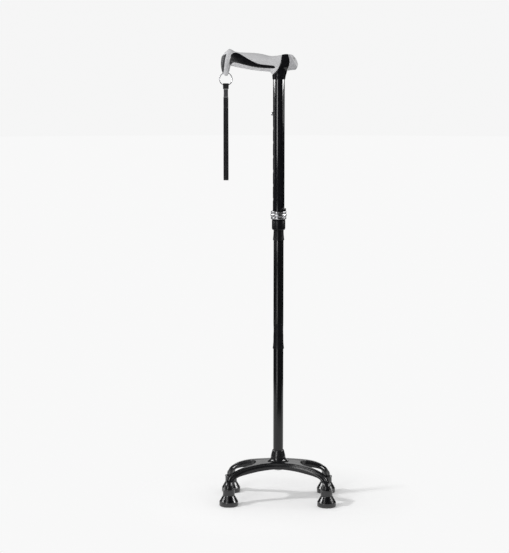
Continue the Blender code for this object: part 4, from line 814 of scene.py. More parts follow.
def stitchRow(points, out):
    # raised stitches laid end to end along a straight line between two points
    length, gap, radius = sewing["stitch"], sewing["gap"], sewing["radius"]
    start, end = (Vector(p) for p in points)
    run = end - start
    count = max(1, int((run.length + gap) / (length + gap)))
    step = run / count
    bm = bmesh.new()
    for i in range(count):
        a = start + step * i + step.normalized() * gap / 2
        b = start + step * (i + 1) - step.normalized() * gap / 2
        mid = (a + b) / 2
        made = bmesh.ops.create_uvsphere(bm, u_segments=10, v_segments=8, radius=1.0)
        along = (b - a).normalized()
        side = along.cross(Vector(out))
        shape = Matrix((along * (b - a).length / 2, side * radius * 1.5, Vector(out) * radius))
        bmesh.ops.transform(bm, matrix=Matrix.Translation(mid) @ shape.transposed().to_4x4(),
                            verts=made["verts"])
    return bm


def makeStitches(name, rows, paint):
    whole = bmesh.new()
    for points, out in rows:
        part = stitchRow(points, out)
        mesh = bpy.data.meshes.new("row")
        part.to_mesh(mesh)
        part.free()
        whole.from_mesh(mesh)
        bpy.data.meshes.remove(mesh)
    return addObject(name, toMesh(whole, name, 80), paint)


loop, loopPath = makeLoop()
seat(loop, "strap", "wrist_loop", "webbing")
tab = seat(makeTab(), "strap", "strap_tab", "webbing")
neckTape = seat(makeNeckTape(), "strap", "strap_neck", "webbing")

threadPaint, threadShader = newPaint("sewingThread", {"colour": (0.035, 0.035, 0.037),
                                                       "roughness": 0.55, "sheen": 0.1})
wire(threadPaint, spread(threadPaint, grain(threadPaint, 0.0004, (1, 1, 1), 2), 0.4, 0.7),
     threadShader.inputs["Roughness"])
relief(threadPaint, threadShader, grain(threadPaint, 0.0002, (1, 1, 1), 1), 0.00004, 0.6)
rows = []
for side in (-1, 1):
    face = side * (strap["thickness"] + 0.00002)
    half = strap["width"] / 2 - sewing["fromSide"]
    low = loopTop - strap["sewn"] + sewing["fromEnd"]
    high = loopTop - sewing["fromTop"]
    rows += [(((ringX - half, face, z), (ringX + half, face, z)), (0, side, 0))
             for z in (high, high - sewing["row"], high - 2 * sewing["row"],
                       low + sewing["lastRow"], low)]
    rows += [(((ringX + x, face, low), (ringX + x, face, high)), (0, side, 0))
             for x in (-half, half)]
    tabFace = side * (strap["tabThickness"] + 0.00002)
    tabRow = tabBottom + sewing["tabUp"]
    rows.append((((ringX - sewing["tabHalf"], tabFace, tabRow),
                  (ringX + sewing["tabHalf"], tabFace, tabRow)), (0, side, 0)))
stitches = makeStitches("strapStitches", rows, threadPaint)
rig.ride(stitches, "strap")
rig.slot(stitches, "webbing")

loopLength = sum((Vector(a) - Vector(b)).length for a, b in zip(loopPath, loopPath[1:]))
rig.cord(loop, exit=loopPath[0], length=loopLength, diameter=strap["width"], far_end="object",
        stiffness="medium", lay="hanging", path=loopPath,
        with_pieces=[tab, neckTape, stitches])
print("strap: loop of %.3f m" % loopLength)


# split ring

splitRing = {"turns": 1.88, "steps": 170, "start": -30}


def makeRing():
    radius = strap["ringRadius"]
    wide = strap["wireWidth"] / 2
    thick = strap["wireThick"] / 2
    shift = (strap["wireThick"] + strap["turnGap"]) / 2
    section = []
    for k in range(20):
        a = 2 * math.pi * k / 20
        c, s = math.cos(a), math.sin(a)
        section.append((wide * math.copysign(abs(c) ** 0.8, c), thick * math.copysign(abs(s) ** 0.75, s)))
    total = 360 * splitRing["turns"]
    count = int(splitRing["steps"] * splitRing["turns"])
    rings = []
    for i in range(count + 1):
        turn = total * i / count
        angle = math.radians(turn + splitRing["start"])
        side = shift * (2 * ease(turn, total - 356, 356) - 1)
        out = Vector((math.cos(angle), 0, math.sin(angle)))
        ends = min(i, count - i) / 3
        taper = 0.35 + 0.65 * math.sqrt(max(0, 1 - (1 - min(ends, 1)) ** 2))
        middle = Vector((ringX, side, heights["ringPivot"] - radius)) + out * radius
        rings.append([middle + out * a * taper + Vector((0, b * taper, 0)) for a, b in section])
    return lofted("splitRing", rings, 60)


dress("splitRing", makeRing(), "chromeWire", "ring", "strap_ring", "chromed_wire")
print("split ring")


# feet

foot = {"x": 0.0885, "y": 0.0485, "radius": 0.0170, "height": 0.0310, "collar": 0.0107,
        "collarLength": 0.0118, "rimHeight": 0.0082, "edge": 0.0025, "lip": 0.0005,
        "lipHeight": 0.0014, "sole": 0.0064, "leg": 0.0075,
        # the sole bears on three rings, given from its middle out
        "tread": [(0, 0.0006), (0.0036, 0.0006, 0.0003), (0.0040, 0, 0.0002), (0.0089, 0, 0.0003),
                  (0.0091, 0.0012, 0.0003), (0.0105, 0.0012, 0.0003), (0.0107, 0, 0.0003),
                  (0.0126, 0, 0.0002), (0.0128, 0.0009, 0.0002), (0.0136, 0.0009, 0.0002),
                  (0.0138, 0, 0.0003)]}


def makeFoot(name):
    r, c, h = foot["radius"], foot["collar"], foot["height"]
    shoulder = h - foot["collarLength"]
    outside = [(r, 0, foot["edge"]), (r, foot["rimHeight"], 0.0016),
               (c, shoulder, 0.0030), (c, h - foot["lipHeight"] - 0.0006, 0.0003),
               (c + foot["lip"], h - foot["lipHeight"], 0.0003), (c + foot["lip"], h, 0.0006)]
    inside = [(foot["leg"] + fit, h, 0.0004), (foot["leg"] + fit, foot["sole"]), (0, foot["sole"])]
    return turned(name, foot["tread"] + outside + inside, 112, 50)


for depth, y in (("front", -1), ("rear", 1)):
    for side, x in (("left", -1), ("right", 1)):
        where = depth + "_" + side
        dress("footTip_" + where, makeFoot("footTip_" + where), "footRubber", "base",
              "foot_" + where, "foot_rubber", (x * foot["x"], y * foot["y"], 0))
print("feet")


# cast base

casting = {
    "beamOffset": 0.0160, "topWidth": 0.0092, "above": 0.0062, "below": 0.0062,
    "armBelow": 0.0068, "hubWidth": 0.0104, "armWidth": 0.0120, "ledge": 0.0046, "edge": 0.0009,
    "endAbove": 0.0045, "endBelow": 0.0047, "thinFrom": 0.0500, "thinTo": 0.0880,
    "archRadius": 0.2710, "armStart": 0.0318, "armTurn": 25.5, "turnReach": 0.0240,
    "armRun": 0.0650, "levelTo": 0.0650, "kneeWidth": 0.0158, "kneeFrom": 0.0600, "kneeTo": 0.0430,
    "legTop": 0.0340, "legRise": 0.0100, "bendInX": 0.0011, "bendInY": 0.0180,
    "legRounding": 0.0080, "bendSoftening": 30, "armFull": 0.0300, "webHalf": 0.0190,
    "webThickness": 0.0080, "webStep": 0.0004, "webReach": 0.0520, "webEnd": 0.0410,
    "webEndRadius": 0.0240, "hubHeight": 0.0205, "hubTop": 0.0104, "hubNeck": 0.0133,
    "hubFoot": 0.0186, "hubFillet": 0.0095, "hubFloor": 0.0037, "bossRadius": 0.0150,
    "boltHole": 0.0039, "socket": 0.0091, "washer": 0.0012, "voxel": 0.0008, "rounds": 5,
}


def archHeight(x):
    r = casting["archRadius"]
    return heights["plateTop"] - casting["above"] - r + math.sqrt(r * r - x * x)


def beamSection(armPart, thinPart, kneePart, roundPart):
    topHalf = casting["topWidth"] / 2
    half = (casting["hubWidth"] + (casting["armWidth"] - casting["hubWidth"]) * armPart) / 2
    half += (casting["kneeWidth"] / 2 - half) * kneePart
    low = -casting["below"] - (casting["armBelow"] - casting["below"]) * armPart
    low += (casting["armBelow"] - casting["endBelow"]) * thinPart
    above = casting["above"] - (casting["above"] - casting["endAbove"]) * thinPart
    ledge = above - casting["ledge"]
    edge = casting["edge"]
    side = [(0, above), (topHalf - edge / 2, above), (topHalf + edge / 3, above - edge),
            (topHalf + (half - topHalf) / 3, ledge), (half - edge / 3, ledge - edge / 2),
            (half, ledge - 2 * edge), (half, low + edge), (half - edge, low)]
    outline = side + [(0, low)] + [(-a, b) for a, b in reversed(side[1:])]
    radius = foot["leg"]
    section = []
    for i, (a, b) in enumerate(outline):
        angle = math.pi / 2 - 2 * math.pi * i / len(outline)
        section.append((a + (radius * math.cos(angle) - a) * roundPart,
                        b + (radius * math.sin(angle) - b) * roundPart))
    closed = section + section[:1]
    fine = []  # each side of the section in four
    for (a, b), (c, d) in zip(closed, closed[1:]):
        fine += [(a + (c - a) * k / 4, b + (d - b) * k / 4) for k in range(4)]
    if roundPart > 0:
        fine = [(a + (radius * a / math.hypot(a, b) - a) * roundPart,
                 b + (radius * b / math.hypot(a, b) - b) * roundPart) for a, b in fine]
    return fine


def beamLine():  # centre line of the front beam's right half, from the hub to the foot
    line = []
    for i in range(33):
        x = casting["armStart"] * i / 32
        line.append(Vector((x, -casting["beamOffset"], archHeight(x))))
    lean = casting["armStart"] / casting["archRadius"]
    rise = math.sqrt(1 - lean ** 2)
    start = line[-1]
    knee = Vector((foot["x"], -foot["y"], casting["legTop"]))
    turn = math.radians(casting["armTurn"])
    leaving = Vector((rise * math.cos(turn), -math.sin(turn), -lean * math.cos(turn)))
    bend = knee + Vector((-casting["bendInX"], casting["bendInY"], casting["legRise"]))
    line += interpolate_bezier(start, start + leaving * casting["armRun"], bend, knee, 71)[1:]
    for point in line:  # the turn is spread over a length of beam
        near = casting["turnReach"] - abs(point.x - casting["armStart"])
        if near > 0:
            point.y -= math.tan(turn) * near ** 2 / (4 * casting["turnReach"])
    end = foot["sole"] + casting["washer"] + 2 * fit
    line += [Vector((knee.x, knee.y, knee.z + (end - knee.z) * k / 20)) for k in range(1, 21)]
    for turns in range(casting["bendSoftening"]):
        line = ([line[0]] + [(a + b * 2 + c) / 4 for a, b, c in zip(line, line[1:], line[2:])]
                + [line[-1]])
    return line


def beamRings():
    line = beamLine()
    rings = []
    along = Vector((1, 0, 0))
    out = Vector((0, -1, 0))
    for i, point in enumerate(line):
        before = line[i - 1] if i else Vector((-line[1].x, line[1].y, line[1].z))
        after = line[min(i + 1, len(line) - 1)]
        tangent = (after - before).normalized()
        if point.x < casting["levelTo"]:
            out = Vector((tangent.y, -tangent.x, 0)).normalized()
        else:
            out = along.rotation_difference(tangent) @ out
        along = tangent
        up = out.cross(tangent)
        roundPart = ease(-point.z, -casting["legTop"] - casting["legRounding"], -casting["legTop"])
        thinPart = ease(point.x, casting["thinFrom"], casting["thinTo"])
        kneePart = ease(-point.z, -casting["kneeFrom"], -casting["kneeTo"])
        section = beamSection(ease(point.x, 0, casting["armFull"]), thinPart, kneePart, roundPart)
        rings.append([point + out * a + up * b for a, b in section])
    mirrored = [[Vector((-p.x, p.y, p.z)) for p in ring] for ring in reversed(rings[1:])]
    return mirrored + rings


def webOutline():
    top = []
    for i in range(-24, 25):
        x = casting["webReach"] * i / 24
        top.append((x, archHeight(x) + casting["above"] - casting["webStep"]))
    return top + [(x, z - casting["webThickness"]) for x, z in reversed(top)]


def hubProfile():
    plate = heights["plateTop"]
    top = plate + casting["hubHeight"]
    run = casting["hubFoot"] - casting["hubNeck"]
    low = heights["bossLow"]
    under = plate - casting["webThickness"] / 2
    fillet = [(casting["hubFoot"] - run * math.sin(math.radians(a)),
               plate + casting["hubFillet"] * (1 - math.cos(math.radians(a))))
              for a in range(0, 91, 9)]
    return ([(0, low), (casting["bossRadius"], low, 0.0012), (casting["bossRadius"], under),
             (casting["hubFoot"], under)] + fillet + [(casting["hubTop"], top, 0.0007), (0, top)])


def markEdges(item):  # how far a point stands proud of its neighbours, 0 to 1
    mesh = item.data
    count = len(mesh.vertices)
    place = np.empty(count * 3)
    mesh.vertices.foreach_get("co", place)
    place = place.reshape(-1, 3)
    normal = np.empty(count * 3)
    mesh.vertices.foreach_get("normal", normal)
    normal = normal.reshape(-1, 3)
    pairs = np.empty(len(mesh.edges) * 2, dtype=int)
    mesh.edges.foreach_get("vertices", pairs)
    pairs = pairs.reshape(-1, 2)
    run = place[pairs[:, 1]] - place[pairs[:, 0]]
    length = np.linalg.norm(run, axis=1)[:, None] + 1e-9
    total = np.zeros(count)
    links = np.zeros(count)
    for end, sign in ((0, -1), (1, 1)):
        at = pairs[:, end]
        np.add.at(total, at, sign * (run / length * normal[at]).sum(axis=1))
        np.add.at(links, at, 1)
    proud = total / np.maximum(links, 1)
    for turn in range(3):
        wide = np.zeros(count)
        np.add.at(wide, pairs[:, 0], proud[pairs[:, 1]])
        np.add.at(wide, pairs[:, 1], proud[pairs[:, 0]])
        proud = (proud + wide / np.maximum(links, 1)) / 2
    mark = mesh.attributes.new("edge", "FLOAT", "POINT")
    mark.data.foreach_set("value", np.clip(proud * 4, 0, 1).astype("float32"))


def makeCasting():
    front = beamRings()
    rear = [[Vector((-p.x, -p.y, p.z)) for p in ring] for ring in front]
    item = addObject("castBase", lofted("castBase", front))
    web = addObject("web", extruded("web", webOutline(), -casting["webHalf"], casting["webHalf"]))
    past = 0.002  # the cutters stand out of what they cut
    ends = []
    for side in (-1, 1):
        end = rod("webEnd", casting["webEndRadius"], 0, heights["plateTop"] + past, 96)
        end.transform(Matrix.Translation((side * (casting["webEnd"] + casting["webEndRadius"]), 0, 0)))
        ends.append(end)
    cutWith(web, ends)
    cutWith(item, [lofted("rearBeam", rear), web.data.copy(), turned("hub", hubProfile())], "UNION")
    bpy.data.objects.remove(web)
    melted(item, casting["voxel"], casting["rounds"])
    low = heights["bossLow"] - past
    floor = heights["bossLow"] + casting["hubFloor"]
    high = heights["plateTop"] + casting["hubHeight"] + past
    bolt = casting["boltHole"] + fit
    tube = casting["socket"] + fit
    cutWith(item, [turned("socket", [(0, low), (bolt, low), (bolt, floor), (tube, floor),
                                     (tube, high), (0, high)])])
    item.data.shade_smooth()
    item.data.set_sharp_from_angle(angle=math.radians(55))
    item.data.materials.clear()
    item.data.materials.append(paints["castCoat"])
    markEdges(item)
    return item


seat(makeCasting(), "base", "quad_base", "coated_casting")
print("cast base")


# staff

staff = {"radius": 0.0091, "wall": 0.0012, "sleeveLength": 0.0451, "mouth": 0.0103,
         "flare": 0.0160, "waist": 0.00035, "waistLength": 0.0220, "seat": 0.0025,
         "spigot": 0.0300, "root": 0.0076, "tip": 0.0066, "flange": 0.0010, "plug": 0.0250,
         "cordHole": 0.0032, "edge": 0.0003}
staffBore = staff["radius"] - staff["wall"]


def makeTube(name, low, high, radius=staff["radius"], bore=staffBore):
    edge = staff["edge"]
    return turned(name, [(bore, low, edge / 2), (radius, low, edge), (radius, high, edge),
                         (bore, high, edge / 2)], 112)


def sleeveOutside(height):
    flare = max(0.0, 1 - height / staff["flare"]) ** 1.7
    radius = staff["radius"] + (staff["mouth"] - staff["radius"]) * flare
    waist = (height - staff["sleeveLength"] + staff["waistLength"]) / staff["waistLength"]
    if 0 < waist < 1:
        radius -= staff["waist"] * math.sin(math.pi * waist)
    return radius


def makeSleeve(name):
    length = staff["sleeveLength"]
    outside = [(sleeveOutside(length * k / 60), length * k / 60) for k in range(1, 60)]
    flange = staff["seat"] + fit + staff["flange"]
    deep = staff["seat"] + staff["spigot"] + 0.002
    top = length + staff["plug"]
    plug = staffBore - fit
    profile = [(staff["radius"] + fit, 0, 0.0002), (staff["mouth"], 0, 0.0003)] + outside
    profile += [(staff["radius"], length, 0.0002), (plug, length), (plug, top, 0.0004),
                (staff["cordHole"], top, 0.0003), (staff["cordHole"], deep),
                (staff["tip"] + fit, deep), (staff["root"] + fit, flange + fit),
                (staff["radius"] + fit, flange + fit)]
    return turned(name, profile, 112)


def makeSpigot(name):
    plug = staffBore - fit
    profile = [(staff["cordHole"], -staff["plug"], 0.0003), (plug, -staff["plug"], 0.0004),
               (plug, fit), (staff["radius"] - fit, fit), (staff["radius"] - fit, staff["flange"], 0.0003),
               (staff["root"], staff["flange"]), (staff["tip"], staff["spigot"] - 0.001, 0.0004),
               (staff["tip"] - 0.001, staff["spigot"], 0.0004),
               (staff["cordHole"], staff["spigot"], 0.0003)]
    return turned(name, profile, 112)


dress("lowerTube", makeTube("lowerTube", heights["staffFoot"], heights["lowerTop"]), "satinTube",
      "base", "lower_tube", "staff_tube")
dress("lowerSpigot", makeSpigot("lowerSpigot"), "mouldedBlack", "base", "lower_spigot",
      "black_plastic", (0, 0, heights["lowerTop"]))
dress("middleSleeve", makeSleeve("middleSleeve"), "mouldedBlack", "middle", "middle_ferrule",
      "black_plastic", (0, 0, heights["middleMouth"]))
dress("middleTube", makeTube("middleTube", heights["middleLow"], heights["middleTop"]),
      "satinTube", "middle", "middle_tube", "staff_tube")
dress("middleSpigot", makeSpigot("middleSpigot"), "mouldedBlack", "middle", "middle_spigot",
      "black_plastic", (0, 0, heights["middleTop"]))
dress("upperSleeve", makeSleeve("upperSleeve"), "mouldedBlack", "inner", "upper_ferrule",
      "black_plastic", (0, 0, heights["upperMouth"]))

button = {"radius": 0.0032, "proud": 0.0031, "dome": 0.0016, "flange": 0.0033, "flangeLow": 0.00516,
          "flangeHigh": 0.00596, "stem": 0.0021, "shoulder": 0.00706, "edge": 0.0002}
innerTube = addObject("innerTube", makeTube("innerTube", heights["innerLow"], heights["innerTop"]),
                      paints["satinTube"])
hole = rod("buttonHole", button["radius"] + fit, -0.0105, 0, 48, "X")
hole.transform(Matrix.Translation((0, 0, heights["button"])))
cutWith(innerTube, [hole])
innerTube.data.set_sharp_from_angle(angle=math.radians(35))
seat(innerTube, "inner", "inner_tube", "staff_tube")
print("staff sections")


elastic = {"radius": 0.0020, "ringStep": 0.0016}


def makeCord(name, low, high, lower, upper):  # one stretch of the elastic cord in the staff
    radius = elastic["radius"]
    rings = []
    steps = int((high - low) / elastic["ringStep"])
    for i in range(steps + 1):
        z = low + (high - low) * i / steps
        rings.append([Vector((radius * math.cos(a), radius * math.sin(a), z))
                      for a in (2 * math.pi * k / 24 for k in range(24))])
    item = addObject(name, lofted(name, rings, 60), paints["elasticBraid"])
    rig.blend(item, lower, upper, start=(0, 0, low + 0.004), end=(0, 0, high - 0.004))
    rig.replaces(item, "shock_cord")
    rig.slot(item, "webbing")
    return item


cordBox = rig.box("shock_cord")
cordLow, cordHigh = cordBox[0][2], cordBox[1][2]
cordMiddle = (cordLow + cordHigh) / 2
makeCord("cordLowerStretch", cordLow, cordMiddle, "base", "middle")
makeCord("cordUpperStretch", cordMiddle, cordHigh, "middle", "inner")
print("elastic cord")


# outer tube and lock

outer = {"radius": 0.0105, "wall": 0.0011, "holes": 7, "pitch": 0.0254, "firstHole": 0.0331}


def makeOuterTube():
    item = addObject("outerTube", makeTube("outerTube", heights["outerLow"], heights["outerTop"],
                                           outer["radius"], outer["radius"] - outer["wall"]),
                     paints["glossTube"])
    tools = []  # each hole is drilled in from the left, with a countersink
    for index in range(outer["holes"]):
        z = heights["outerLow"] + outer["firstHole"] + index * outer["pitch"]
        r = button["radius"] + fit
        tool = turned("hole", [(0, -0.0130), (r + 0.0016, -0.0121), (r, -0.0102), (r, 0), (0, 0)], 48)
        tool.transform(Matrix.Translation((0, 0, z)) @ Matrix.Rotation(math.pi / 2, 4, "Y"))
        tools.append(tool)
    cutWith(item, tools)
    item.data.set_sharp_from_angle(angle=math.radians(30))
    return item


seat(makeOuterTube(), "upper", "outer_tube", "outer_tube")


def makeButton():
    tip = outer["radius"] + button["proud"]
    r = button["radius"]
    dome = [(r * math.cos(math.radians(a)), tip - button["dome"] * (1 - math.sin(math.radians(a))))
            for a in range(0, 90, 9)]
    flange, stem, edge = button["flange"], button["stem"], button["edge"]
    profile = [(0, button["flangeLow"]), (flange, button["flangeLow"], edge),
               (flange, button["flangeHigh"], edge), (stem, button["flangeHigh"]),
               (stem, button["shoulder"]), (r, button["shoulder"], edge)] + dome + [(0, tip)]
    mesh = turned("snapButton", profile, 64)
    mesh.transform(Matrix.Rotation(-math.pi / 2, 4, "Y"))
    return mesh


lock = {"skirt": 0.0121, "edge": 0.0015, "edgeHeight": 0.0034, "collar": 0.0116, "ringRadius": 0.0140,
        "ringLength": 0.0140, "ringEdge": 0.0007,
        "lugRadius": 0.0134, "lugHeight": 0.0050, "lugAngle": -36.0, "lugSpan": 68.0,
        "bead": 0.0032, "bulge": 0.0017, "rim": 0.0043, "groove": 0.0013,
        # fine line turned below the lock ring's seat
        "lineLow": 0.0032, "lineHigh": 0.0020, "lineDepth": 0.00035, "lineSlope": 0.0002}


def makeCollar():
    low, seatZ, lug = heights["lockLow"], heights["lockSeat"], heights["lug"]
    shelf = heights["outerLow"] - fit
    inside = staff["radius"] + fit
    collet = inside + 0.0010 + fit
    bore = outer["radius"] + fit
    r = lock["skirt"]
    edge = arcPoints((0, 0), 1.0, -90, 0, 12)
    profile = [(collet, low)]
    profile += [(r - lock["edge"] * (1 - x), low + lock["edgeHeight"] * (1 + y)) for x, y in edge]
    deep = r - lock["lineDepth"]
    lineLow, lineHigh = seatZ - lock["lineLow"], seatZ - lock["lineHigh"]
    profile += [(r, lineLow), (deep, lineLow + lock["lineSlope"], 0.0001),
                (deep, lineHigh - lock["lineSlope"], 0.0001), (r, lineHigh, 0.0001),
                (r, seatZ - 0.0006), (r - 0.0005, seatZ),
                (lock["collar"], seatZ), (lock["collar"], lug, 0.0002), (bore, lug),
                (bore, shelf), (inside, shelf), (inside, shelf - 0.0010), (collet, shelf - 0.0010)]
    item = addObject("lockCollar", turned("lockCollar", profile, 112), paints["mouldedBlack"])
    inner = bore + fit / 2
    middle = math.radians(lock["lugAngle"])
    span = math.radians(lock["lugSpan"])
    steps = 30
    angles = [middle - span / 2 + span * i / steps for i in range(steps + 1)]
    outline = []
    for i, a in enumerate(angles):
        ends = min(i, steps - i) / 3
        r = lock["lugRadius"] - 0.0008 * (1 - min(ends, 1)) ** 2
        outline.append((r * math.cos(a), r * math.sin(a)))
    outline += [(inner * math.cos(a), inner * math.sin(a)) for a in reversed(angles)]
    cutWith(item, [extruded("lug", outline, lug - 0.0004, lug + lock["lugHeight"], "XY")], "UNION")
    underside = [(x * 1.02, y * 1.02) for x, y in outline[:steps + 1]]
    inner = lock["collar"] + 0.00002
    underside += [(inner * math.cos(a), inner * math.sin(a)) for a in reversed(angles)]
    cutWith(item, [extruded("under", underside, lug - 0.001, lug, "XY")])
    bevel = item.modifiers.new("edge", "BEVEL")
    bevel.width = 0.0003
    bevel.segments = 2
    bevel.limit_method = "ANGLE"
    bevel.angle_limit = math.radians(60)
    applyAll(item)
    item.data.shade_smooth()
    item.data.set_sharp_from_angle(angle=math.radians(35))
    return item


def makeLockRing():
    low = heights["lockSeat"] + fit
    high = low + lock["ringLength"]
    mid = (low + high) / 2
    bore = lock["collar"] + fit
    r = lock["ringRadius"]
    g = lock["groove"]
    bead = [(r - g + lock["bulge"] * math.cos(math.radians(a)),
             mid + lock["bead"] * math.sin(math.radians(a))) for a in range(-80, 81, 10)]
    profile = ([(bore, low, 0.0002), (r, low, lock["ringEdge"]), (r, mid - lock["rim"], 0.0003),
                (r - g, mid - lock["rim"] + 0.0005, 0.0002), (r - g, mid - lock["bead"])]
               + bead
               + [(r - g, mid + lock["bead"]), (r - g, mid + lock["rim"] - 0.0005, 0.0002),
                  (r, mid + lock["rim"], 0.0003), (r, high, lock["ringEdge"]),
                  (bore, high, 0.0002)])
    return turned("lockRing", profile, 128, 40)


seat(makeCollar(), "upper", "lock_collar", "black_plastic")
dress("lockRing", makeLockRing(), "silverBand", "lock", "lock_ring", "silver_ring")
dress("snapButton", makeButton(), "plainSteel", "button", "snap_button", "steel",
      (0, 0, heights["button"]))
print("outer tube and lock")


# hairpin spring behind the button: its pierced leg gives way when the button is pressed

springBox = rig.box("button_spring")
spring = {"reach": (springBox[1][0] - springBox[0][0]) / 2, "thickness": 0.0005, "half": 0.0038,
          "corner": 0.00012, "above": 0.0080, "below": 0.0220, "hole": 0.0021}


def makeSpring():
    reach = spring["reach"]
    inside = reach - spring["thickness"]
    half = spring["half"]
    low, high = -spring["below"], spring["above"]
    place = (0, 0, heights["button"])
    outline = arcPoints((0, low), reach, 180, 360, 40) + [(reach, high), (inside, high)]
    outline += arcPoints((0, low), inside, 360, 180, 40)
    dress("springBend", extruded("springBend", outline, -half, half),
          "plainSteel", "inner", "button_spring", "steel", place)
    c = spring["corner"]
    strip = [(-reach, -half + c), (-reach + c, -half), (-inside - c, -half), (-inside, -half + c),
             (-inside, half - c), (-inside - c, half), (-reach + c, half), (-reach, half - c)]
    rings = [[Vector((x, y, low + (high - low) * i / 48)) for x, y in strip] for i in range(49)]
    leg = addObject("springLeg", lofted("springLeg", rings))
    cutWith(leg, [rod("stem", spring["hole"] + fit, -reach - 0.002, -inside + 0.002, 48, "X")])
    leg.data.transform(Matrix.Translation(place))
    leg.data.materials.clear()
    leg.data.materials.append(paints["plainSteel"])
    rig.blend(leg, "inner", "button", start=(0, 0, heights["button"] + low + 0.001),
             end=(0, 0, heights["button"] - 0.0050))
    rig.replaces(leg, "button_spring")
    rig.slot(leg, "steel")


makeSpring()
print("button spring")


# handle, with heights above the neck's lower edge

# the lines of the grip and the inlay are points (x, z), those of the nose, neck, band and cap (z, x),
# and half widths are read along the same way
handle = {
    "tail": tailEnd["reach"], "gripEnd": -0.0905,
    "top": [(-0.0920, 0.0496), (-0.0790, 0.0495), (-0.0700, 0.0480), (-0.0450, 0.0470),
            (-0.0300, 0.0451), (-0.0150, 0.0418), (-0.0040, 0.0420), (0.0110, 0.0448),
            (0.0230, 0.0442), (0.0337, 0.0440)],
    "bottom": [(-0.0920, 0.0262), (-0.0790, 0.0228), (-0.0520, 0.0176), (-0.0300, 0.0149),
               (-0.0120, 0.0140), (0.0080, 0.0148), (0.0200, 0.0164), (0.0337, 0.0175)],
    "halfWidth": [(-0.0920, 0.0118), (-0.0700, 0.0138), (-0.0450, 0.0143), (-0.0150, 0.0134),
                  (0.0100, 0.0130), (0.0337, 0.0118)],
    "heart": 0.0260, "topRounding": 0.0120, "bottomRounding": 0.0050, "tip": 0.0062, "peak": 0.0542,
    "noseOuter": [(0.0060, -0.0962), (0.0105, -0.0998), (0.0176, -0.1019), (0.0286, -0.1030),
                  (0.0395, -0.1016), (0.0434, -0.0998), (0.0474, -0.0962), (0.0517, -0.0923),
                  (0.0545, -0.0895)],
    "noseInner": [(0.0060, -0.0905), (0.0110, -0.0886), (0.0206, -0.0866), (0.0286, -0.0848),
                  (0.0400, -0.0800), (0.0499, -0.0789), (0.0527, -0.0826), (0.0545, -0.0865)],
    "noseHalf": [(0.0060, 0.0052), (0.0120, 0.0076), (0.0200, 0.0098), (0.0320, 0.0124),
                 (0.0420, 0.0124), (0.0490, 0.0096), (0.0545, 0.0050)],
    "neckTop": 0.0220,
    "neckHalf": [(0.0000, 0.0110), (0.0090, 0.0120), (0.0220, 0.0128)],
    "neckLeft": [(0.0000, -0.0110), (0.0084, -0.0119), (0.0118, -0.0140), (0.0160, -0.0178),
                 (0.0230, -0.0240)],
    "neckRight": [(0.0000, 0.0110), (0.0060, 0.0119), (0.0110, 0.0134), (0.0170, 0.0152),
                  (0.0230, 0.0175)],
    "bandLeft": [(0.0076, -0.0125), (0.0100, -0.0094), (0.0146, -0.0043), (0.0206, -0.0002),
                 (0.0318, 0.0039), (0.0448, 0.0055), (0.0560, 0.0060)],
    "bandRight": [(0.0120, 0.0138), (0.0206, 0.0163), (0.0327, 0.0186), (0.0448, 0.0167),
                  (0.0560, 0.0150)],
    "inlay": [(-0.0846, 0.0395), (-0.0842, 0.0429), (-0.0817, 0.0457), (-0.0771, 0.0472),
              (-0.0718, 0.0462), (-0.0675, 0.0442), (-0.0620, 0.0410), (-0.0520, 0.0350),
              (-0.0418, 0.0299), (-0.0317, 0.0268), (-0.0165, 0.0252), (-0.0085, 0.0238),
              (-0.0070, 0.0222), (-0.0083, 0.0205), (-0.0214, 0.0206), (-0.0369, 0.0217),
              (-0.0521, 0.0245), (-0.0640, 0.0274), (-0.0764, 0.0306), (-0.0808, 0.0304),
              (-0.0842, 0.0276), (-0.0858, 0.0246), (-0.0870, 0.0285), (-0.0861, 0.0350)],
    "cap": [(0.0080, -0.1002), (0.0130, -0.0985), (0.0188, -0.0973), (0.0250, -0.0967),
            (0.0346, -0.0955), (0.0410, -0.0938), (0.0452, -0.0930), (0.0420, -0.0993),
            (0.0370, -0.1100)],
    "inlayInner": 0.0060, "coreDepth": 0.0042, "proud": 0.0003, "tubeTop": 0.0318,
    "sleeveWall": 0.0008, "stubDepth": 0.0200, "bodyVoxel": 0.0006, "bodyRounds": 6,
    "gripVoxel": 0.00042, "tailVoxel": 0.00036, "capVoxel": 0.00030, "coreVoxel": 0.00040, "rounds": 4,
}


def oval(centre, half, power, steps, flat=0.0):
    points = []
    for i in range(steps):
        c = math.cos(2 * math.pi * i / steps)
        s = math.sin(2 * math.pi * i / steps)
        across = half[0] * math.copysign(abs(c) ** (2 / power), c) * (1 + flat * s)
        points.append((centre[0] + across,
                       centre[1] + half[1] * math.copysign(abs(s) ** (2 / power), s)))
    return points


def roundedEnd(position, end, length):
    past = min(max(0.0, position - end + length) / length, 1.0)
    return max((1 - past ** 1.6) ** 0.625, 0.06)


def slantedEnd(position, end):
    past = min(max(0.0, position - end + tailEnd["slantLength"]) / tailEnd["slantLength"], 1.0)
    return max((1 - past ** 1.35) ** 0.74, 0.05)


